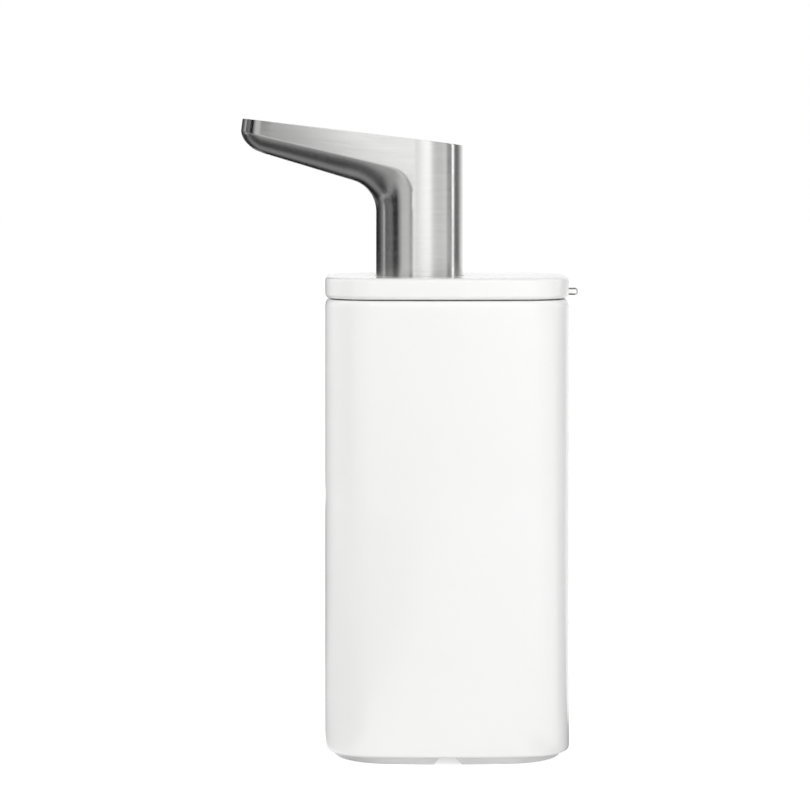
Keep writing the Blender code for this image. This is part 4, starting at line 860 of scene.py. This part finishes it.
# Directions in degrees round the tent, 0 towards the camera and positive to the right, with the
# brightness there: the upper part is what the spout reflects, the lower part what the body reflects
UPPER_LEVELS = (
    (-180, 1.10), (-175, 1.10), (-172, 1.00), (-169, 1.00), (-165, 0.03), (-140, 0.05), (-128, 0.20),
    (-118, 0.25), (-113, 0.45), (-110, 0.80), (-106, 0.80), (-102, 0.12), (-95, 0.18), (-84, 0.26),
    (-77, 0.24), (-73, 0.00), (-60, 0.00), (-57, 0.35), (-50, 0.66), (-46, 0.80), (-30, 0.80), (-25, 0.45),
    (-22, 0.12), (-20, 0.40), (-18, 1.35), (-16, 1.60), (-12, 1.45), (-8, 1.20), (0, 1.30), (10, 1.55),
    (20, 1.68), (27, 1.60), (32, 1.25), (38, 0.90), (47, 0.76), (60, 0.78), (70, 0.90), (75, 0.85),
    (80, 0.35), (94, 0.30), (97, 2.30), (102, 2.20), (105, 0.35), (115, 0.20), (125, 0.30), (135, 0.60),
    (150, 1.00), (172, 1.00), (175, 1.10), (180, 1.10),
)
LOWER_LEVELS = (
    (-180, 0.30), (-130, 0.10), (-110, 0.25), (-95, 0.10), (-55, 0.05), (-45, 0.80), (0, 1.10),
    (80, 1.10), (92, 0.90), (98, 0.15), (128, 0.15), (136, 1.20), (165, 1.20), (180, 0.30),
)
TENT_RADIUS = 0.70
# The back begins this many degrees to the left
TENT_BACK = 125
# Heights of the tent's rows, with their brightness and the share of it that the left of the back keeps
TENT_ROWS = (
    (0.001, LOWER_LEVELS, 1.00),
    (0.104, LOWER_LEVELS, 1.00),
    (0.112, UPPER_LEVELS, 0.08),
    (0.145, UPPER_LEVELS, 0.06),
    (0.158, UPPER_LEVELS, 1.00),
    (1.100, UPPER_LEVELS, 1.00),
)


def light_tent(glow):
    """Round screen of white cloth and dark strips, with an upright edge at each degree."""
    rows = []
    for z, levels, back_share in TENT_ROWS:
        row = []
        for angle in range(-180, 180):
            turned = radians(angle)
            place = (POST_X + TENT_RADIUS * sin(turned), -TENT_RADIUS * cos(turned), z)
            share = back_share if angle < -TENT_BACK else 1.0
            row.append((place, profile_level(levels, angle) * share))
        rows.append(row)
    reflected_sheet("light_tent", rows, glow, closed=True)


# Dark cards by the body's right corner, by the button and overhead: name, corners, height, brightness
DARK_CARDS = (
    ("corner_card", ((0.058, -0.012), (0.690, 0.050), (0.550, 0.430), (0.058, 0.022)), 0.001, 0.08),
    ("button_card", ((0.047, -0.060), (0.062, -0.060), (0.062, 0.160), (0.047, 0.160)), 0.001, 0.03),
    ("roof_card", ((-0.450, -0.450), (0.450, -0.450), (0.450, 0.450), (-0.450, 0.450)), 1.100, 0.20),
)

# Graded card below the arm, for its rounded underside: places along Y with the brightness there
CARD_LEVELS = (
    (-0.60, 0.50), (-0.190, 0.44), (-0.130, 0.27), (-0.087, 0.13), (-0.045, 0.07), (-0.003, 0.08),
    (0.034, 0.22), (0.067, 0.30), (0.121, 0.25), (0.168, 0.08), (0.224, 0.02), (0.60, 0.02),
)
CARD_HEIGHT = 0.001
CARD_LEFT = -0.60
CARD_RIGHT = -0.033


def cards(glow):
    """The graded card and the dark cards."""
    rows = [[((x, y, CARD_HEIGHT), level) for x in (CARD_LEFT, CARD_RIGHT)] for y, level in CARD_LEVELS]
    reflected_sheet("graded_card", rows, glow)
    for name, corners, height, level in DARK_CARDS:
        first, second, third, fourth = [((x, y, height), level) for x, y in corners]
        reflected_sheet(name, ((first, second), (fourth, third)), glow)


CAMERA_PLACE = (-0.00125, -0.850, 0.173)
CAMERA_LENS = 125.9
CAMERA_SHIFT = -0.2877


def add_camera():
    """Level camera, shifted down as the photograph's framing needs."""
    data = bpy.data.cameras.new("camera")
    data.sensor_width = 36.0
    data.lens = CAMERA_LENS
    data.shift_y = CAMERA_SHIFT
    data.clip_start = 0.01
    data.clip_end = 50.0
    camera = add_object("camera", data)
    camera.location = CAMERA_PLACE
    camera.rotation_euler = (pi / 2, 0, 0)
    bpy.context.scene.camera = camera


# Operators

class Maker:
    """Common part of the operators, which build from the scene's sizes and colours."""

    def execute(self, context):
        self.build(context.scene.dispenser_sizes, context.scene.dispenser_colours)
        return {"FINISHED"}


class DISPENSER_OT_sleeve(Maker, bpy.types.Operator):
    """Make the smooth white sleeve"""

    bl_idname = "dispenser.sleeve"
    bl_label = "White Sleeve"

    def build(self, sizes, colours):
        bottom = SHELL_LOW.z
        top = SHELL_HIGH.z
        edge = sizes.shell_bottom_edge
        wall = sizes.shell_wall
        lip = wall + sizes.shell_lip
        profile = arc(edge, bottom + edge, edge, 270, 180)
        for across, up in arc(0, 0, 1, 180, 90):
            profile.append((sizes.shoulder_depth * (1 + across), top - sizes.shoulder_height * (1 - up)))
        profile += [(lip, top), (lip, top - wall), (wall, top - wall), (wall, bottom)]
        sleeve = mesh_object("white_sleeve", loft_body(sizes, profile, True, sizes.corner_radius))
        smooth(sleeve, BODY_SHARP)
        dress(sleeve, glossy_coat("white_coat", colours.coat), "root", "outer_shell")


class DISPENSER_OT_lid(Maker, bpy.types.Operator):
    """Make the smooth white lid with its post hole and button opening"""

    bl_idname = "dispenser.lid"
    bl_label = "White Lid"

    def build(self, sizes, colours):
        bottom = LID_LOW.z
        top = LID_HIGH.z
        wall = sizes.lid_wall
        ceiling = top - sizes.lid_roof
        lower = sizes.lid_bottom_edge
        upper = sizes.lid_top_edge
        profile = [(wall, ceiling), (wall, bottom)]
        profile += arc(lower, bottom + lower, lower, 270, 180)
        profile += arc(upper, top - upper, upper, 180, 90)
        lid = mesh_object("white_lid", loft_body(sizes, profile, False, sizes.corner_radius))
        gap = sizes.post_gap
        hole = POST_RADIUS + gap
        low = ceiling - OVERRUN
        past = top + OVERRUN
        drill = [(0, low), (hole, low), (hole, top - gap), (hole + gap, top), (hole + gap, past), (0, past)]
        combine(lid, turn(drill, POST_X, False))
        centre = (sizes.button_width - BUTTON_HEIGHT) / 2
        shoulder = arc(centre, BUTTON_LEVEL, BUTTON_HEIGHT / 2 + gap, 0, 90)
        half = [(shoulder[0][0], bottom - OVERRUN)] + shoulder
        outline = half + [(-y, z) for y, z in reversed(half)]
        start = LID_HIGH.x - wall - OVERRUN / 2
        combine(lid, extrude([(start, y, z) for y, z in outline], (wall + OVERRUN, 0, 0)))
        smooth(lid, BODY_SHARP)
        dress(lid, glossy_coat("white_lid", colours.coat), "lid", "lid_cover")


class DISPENSER_OT_spout(Maker, bpy.types.Operator):
    """Make the brushed steel spout and its nozzle"""

    bl_idname = "dispenser.spout"
    bl_label = "Steel Spout"

    def build(self, sizes, colours):
        form = SpoutForm(sizes)
        spout = mesh_object("steel_spout", form.skin())
        inner = POST_RADIUS - sizes.post_wall
        bore(spout, POST_X, inner, SPOUT_LOW.z - OVERRUN, form.rear_top - sizes.post_roof)
        under = form.underside(NOZZLE_X - POST_X)
        low = under - OVERRUN
        bore(spout, NOZZLE_X, NOZZLE_RADIUS + sizes.post_gap, low, under + sizes.nozzle_depth)
        smooth(spout, SPOUT_SHARP)
        map_brushing(spout, form)
        steel = brushed_steel("brushed_steel", colours.steel)
        dress(spout, steel, "pump_head", "spout_head")
        top = NOZZLE_HIGH.z
        collar = under + sizes.nozzle_collar
        inner = sizes.nozzle_bore
        neck = sizes.nozzle_neck
        shape = [(inner, low), (NOZZLE_RADIUS, low), (NOZZLE_RADIUS, collar)]
        shape += [(neck, collar), (neck, top), (inner, top)]
        nozzle = mesh_object("soft_nozzle", turn(shape, NOZZLE_X, True, NOZZLE_STEPS))
        combine(nozzle, form.skin(), "INTERSECT")
        smooth(nozzle, SMALL_SHARP)
        material = soft_silicone("nozzle_silicone", colours.nozzle)
        dress(nozzle, material, "pump_head", "nozzle_tip")


class DISPENSER_OT_button(Maker, bpy.types.Operator):
    """Make the polished release button"""

    bl_idname = "dispenser.button"
    bl_label = "Release Button"

    def build(self, sizes, colours):
        centre = (sizes.button_width - BUTTON_HEIGHT) / 2
        right = arc(centre, BUTTON_LEVEL, BUTTON_HEIGHT / 2, -90, 90, 2 * EDGE_STEPS)
        outline = right + [(-y, z) for y, z in reversed(right)]
        start = BUTTON_LOW.x
        bm = extrude([(start, y, z) for y, z in outline], (BUTTON_HIGH.x - start, 0, 0))
        front = [edge for edge in bm.edges if all(vert.co.x > LID_HIGH.x for vert in edge.verts)]
        break_edges(bm, front, sizes.button_edge, EDGE_STEPS)
        button = mesh_object("polished_button", bm)
        smooth(button, SMALL_SHARP)
        steel = polished_steel("polished_steel", colours.polished)
        dress(button, steel, "release", "release_button")


class DISPENSER_OT_feet(Maker, bpy.types.Operator):
    """Make the two smooth foot pads"""

    bl_idname = "dispenser.feet"
    bl_label = "Foot Pads"

    def build(self, sizes, colours):
        inset = FOOT_LOW.x - SHELL_LOW.x
        edge = sizes.pad_edge
        height = FOOT_HIGH.z
        profile = arc(inset + sizes.pad_taper + edge, edge, edge, 270, 190) + [(inset, height)]
        half = sizes.channel_top / 2
        slant = sizes.channel_slant
        spare = OVERRUN * slant / height
        past = BODY_WIDTH / 2 + OVERRUN
        high = height + OVERRUN
        corners = [(half + slant + spare, -OVERRUN), (half - spare, high), (-past, high), (-past, -OVERRUN)]
        material = soft_silicone("pad_silicone", colours.pads)
        for name, node, side in (("left_pad", "foot_left", -1), ("right_pad", "foot_right", 1)):
            pad = mesh_object(name, loft_body(sizes, profile, False, sizes.pad_corner))
            outline = [(side * x + BODY_X, -BODY_DEPTH, z) for x, z in corners]
            combine(pad, extrude(outline, (0, 2 * BODY_DEPTH, 0)))
            smooth(pad, SMALL_SHARP)
            dress(pad, material, "root", node)


class DISPENSER_OT_springs(Maker, bpy.types.Operator):
    """Make the return spring and the latch spring"""

    bl_idname = "dispenser.springs"
    bl_label = "Springs"

    def build(self, sizes, colours):
        material = wire_steel("spring_wire", colours.wire)
        wire = sizes.wire_radius
        radius = (RETURN_HIGH.y - RETURN_LOW.y) / 2 - wire
        points = helix(radius, RETURN_LOW.z, RETURN_HIGH.z, wire, sizes.return_curls, RETURN_CURL_STEPS)
        spring = spring_mesh("return_coil", [point + Vector((POST_X, 0, 0)) for point in points], wire)
        dress(spring, material, "lid", "return_spring")
        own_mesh(spring)
        wire = sizes.latch_wire_radius
        radius = (LATCH_HIGH.y - LATCH_LOW.y) / 2 - wire
        level = (LATCH_HIGH.z + LATCH_LOW.z) / 2
        points = helix(radius, LATCH_LOW.x, LATCH_HIGH.x, wire, sizes.latch_curls, LATCH_CURL_STEPS)
        points = [Vector((point.z, point.y, level - point.x)) for point in points]
        coil = spring_mesh("latch_coil", points, wire)
        dress(coil, material, "lid", "latch_spring")
        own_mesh(coil)


class DISPENSER_OT_inner_parts(Maker, bpy.types.Operator):
    """Finish the solids inside the body, the lid and the spout"""

    bl_idname = "dispenser.inner_parts"
    bl_label = "Inner Parts"

    def build(self, sizes, colours):
        repaint(plain_moulding("white_moulding", colours.moulding), "base_plate", "rim_collar", "lid_carrier",
                "guide_bush", "pump_barrel", "barrel_cap", "head_core", "piston_stem", "latch_bar")
        repaint(clear_moulding("clear_moulding", colours.clear), "reservoir", "dip_tube", "spout_tube")
        repaint(soft_silicone("seal_silicone", colours.seals), "lid_gasket", "barrel_gasket", "piston_seal")
        repaint(polished_steel("ball_steel", colours.polished), "inlet_ball", "outlet_ball")
        repaint(wire_steel("screw_steel", colours.wire), "base_screw_1", "base_screw_2", "base_screw_3",
                "base_screw_4")


class DISPENSER_OT_studio(Maker, bpy.types.Operator):
    """Set up the floor, the light tent, the lamps and the camera"""

    bl_idname = "dispenser.studio"
    bl_label = "Soft Studio"

    def build(self, sizes, colours):
        bpy.context.scene.view_settings.view_transform = "Standard"
        studio_floor(colours.floor)
        studio_world()
        glow = tent_glow()
        light_tent(glow)
        cards(glow)
        for lamp in LAMPS:
            add_lamp(*lamp)
        add_camera()


class DISPENSER_PT_panel(bpy.types.Panel):
    """Pieces, sizes and colours of the dispenser"""

    bl_idname = "DISPENSER_PT_panel"
    bl_label = "Soap Dispenser"
    bl_space_type = "VIEW_3D"
    bl_region_type = "UI"
    bl_category = "Dispenser"

    def draw(self, context):
        for operator in OPERATORS:
            self.layout.operator(operator.bl_idname)
        for group in (context.scene.dispenser_sizes, context.scene.dispenser_colours):
            box = self.layout.box()
            for name in group.__annotations__:
                box.prop(group, name)


OPERATORS = (
    DISPENSER_OT_studio,
    DISPENSER_OT_sleeve,
    DISPENSER_OT_lid,
    DISPENSER_OT_spout,
    DISPENSER_OT_button,
    DISPENSER_OT_feet,
    DISPENSER_OT_springs,
    DISPENSER_OT_inner_parts,
)
CLASSES = (DispenserSizes, DispenserColours, *OPERATORS, DISPENSER_PT_panel)


def register():
    for item in CLASSES:
        bpy.utils.register_class(item)
    bpy.types.Scene.dispenser_sizes = PointerProperty(type=DispenserSizes)
    bpy.types.Scene.dispenser_colours = PointerProperty(type=DispenserColours)


def unregister():
    del bpy.types.Scene.dispenser_colours
    del bpy.types.Scene.dispenser_sizes
    for item in reversed(CLASSES):
        bpy.utils.unregister_class(item)


def main():
    """Build every piece in order."""
    register()
    bpy.ops.dispenser.studio()
    bpy.ops.dispenser.sleeve()
    bpy.ops.dispenser.lid()
    bpy.ops.dispenser.spout()
    bpy.ops.dispenser.button()
    bpy.ops.dispenser.feet()
    bpy.ops.dispenser.springs()
    bpy.ops.dispenser.inner_parts()


if __name__ == "__main__":
    main()
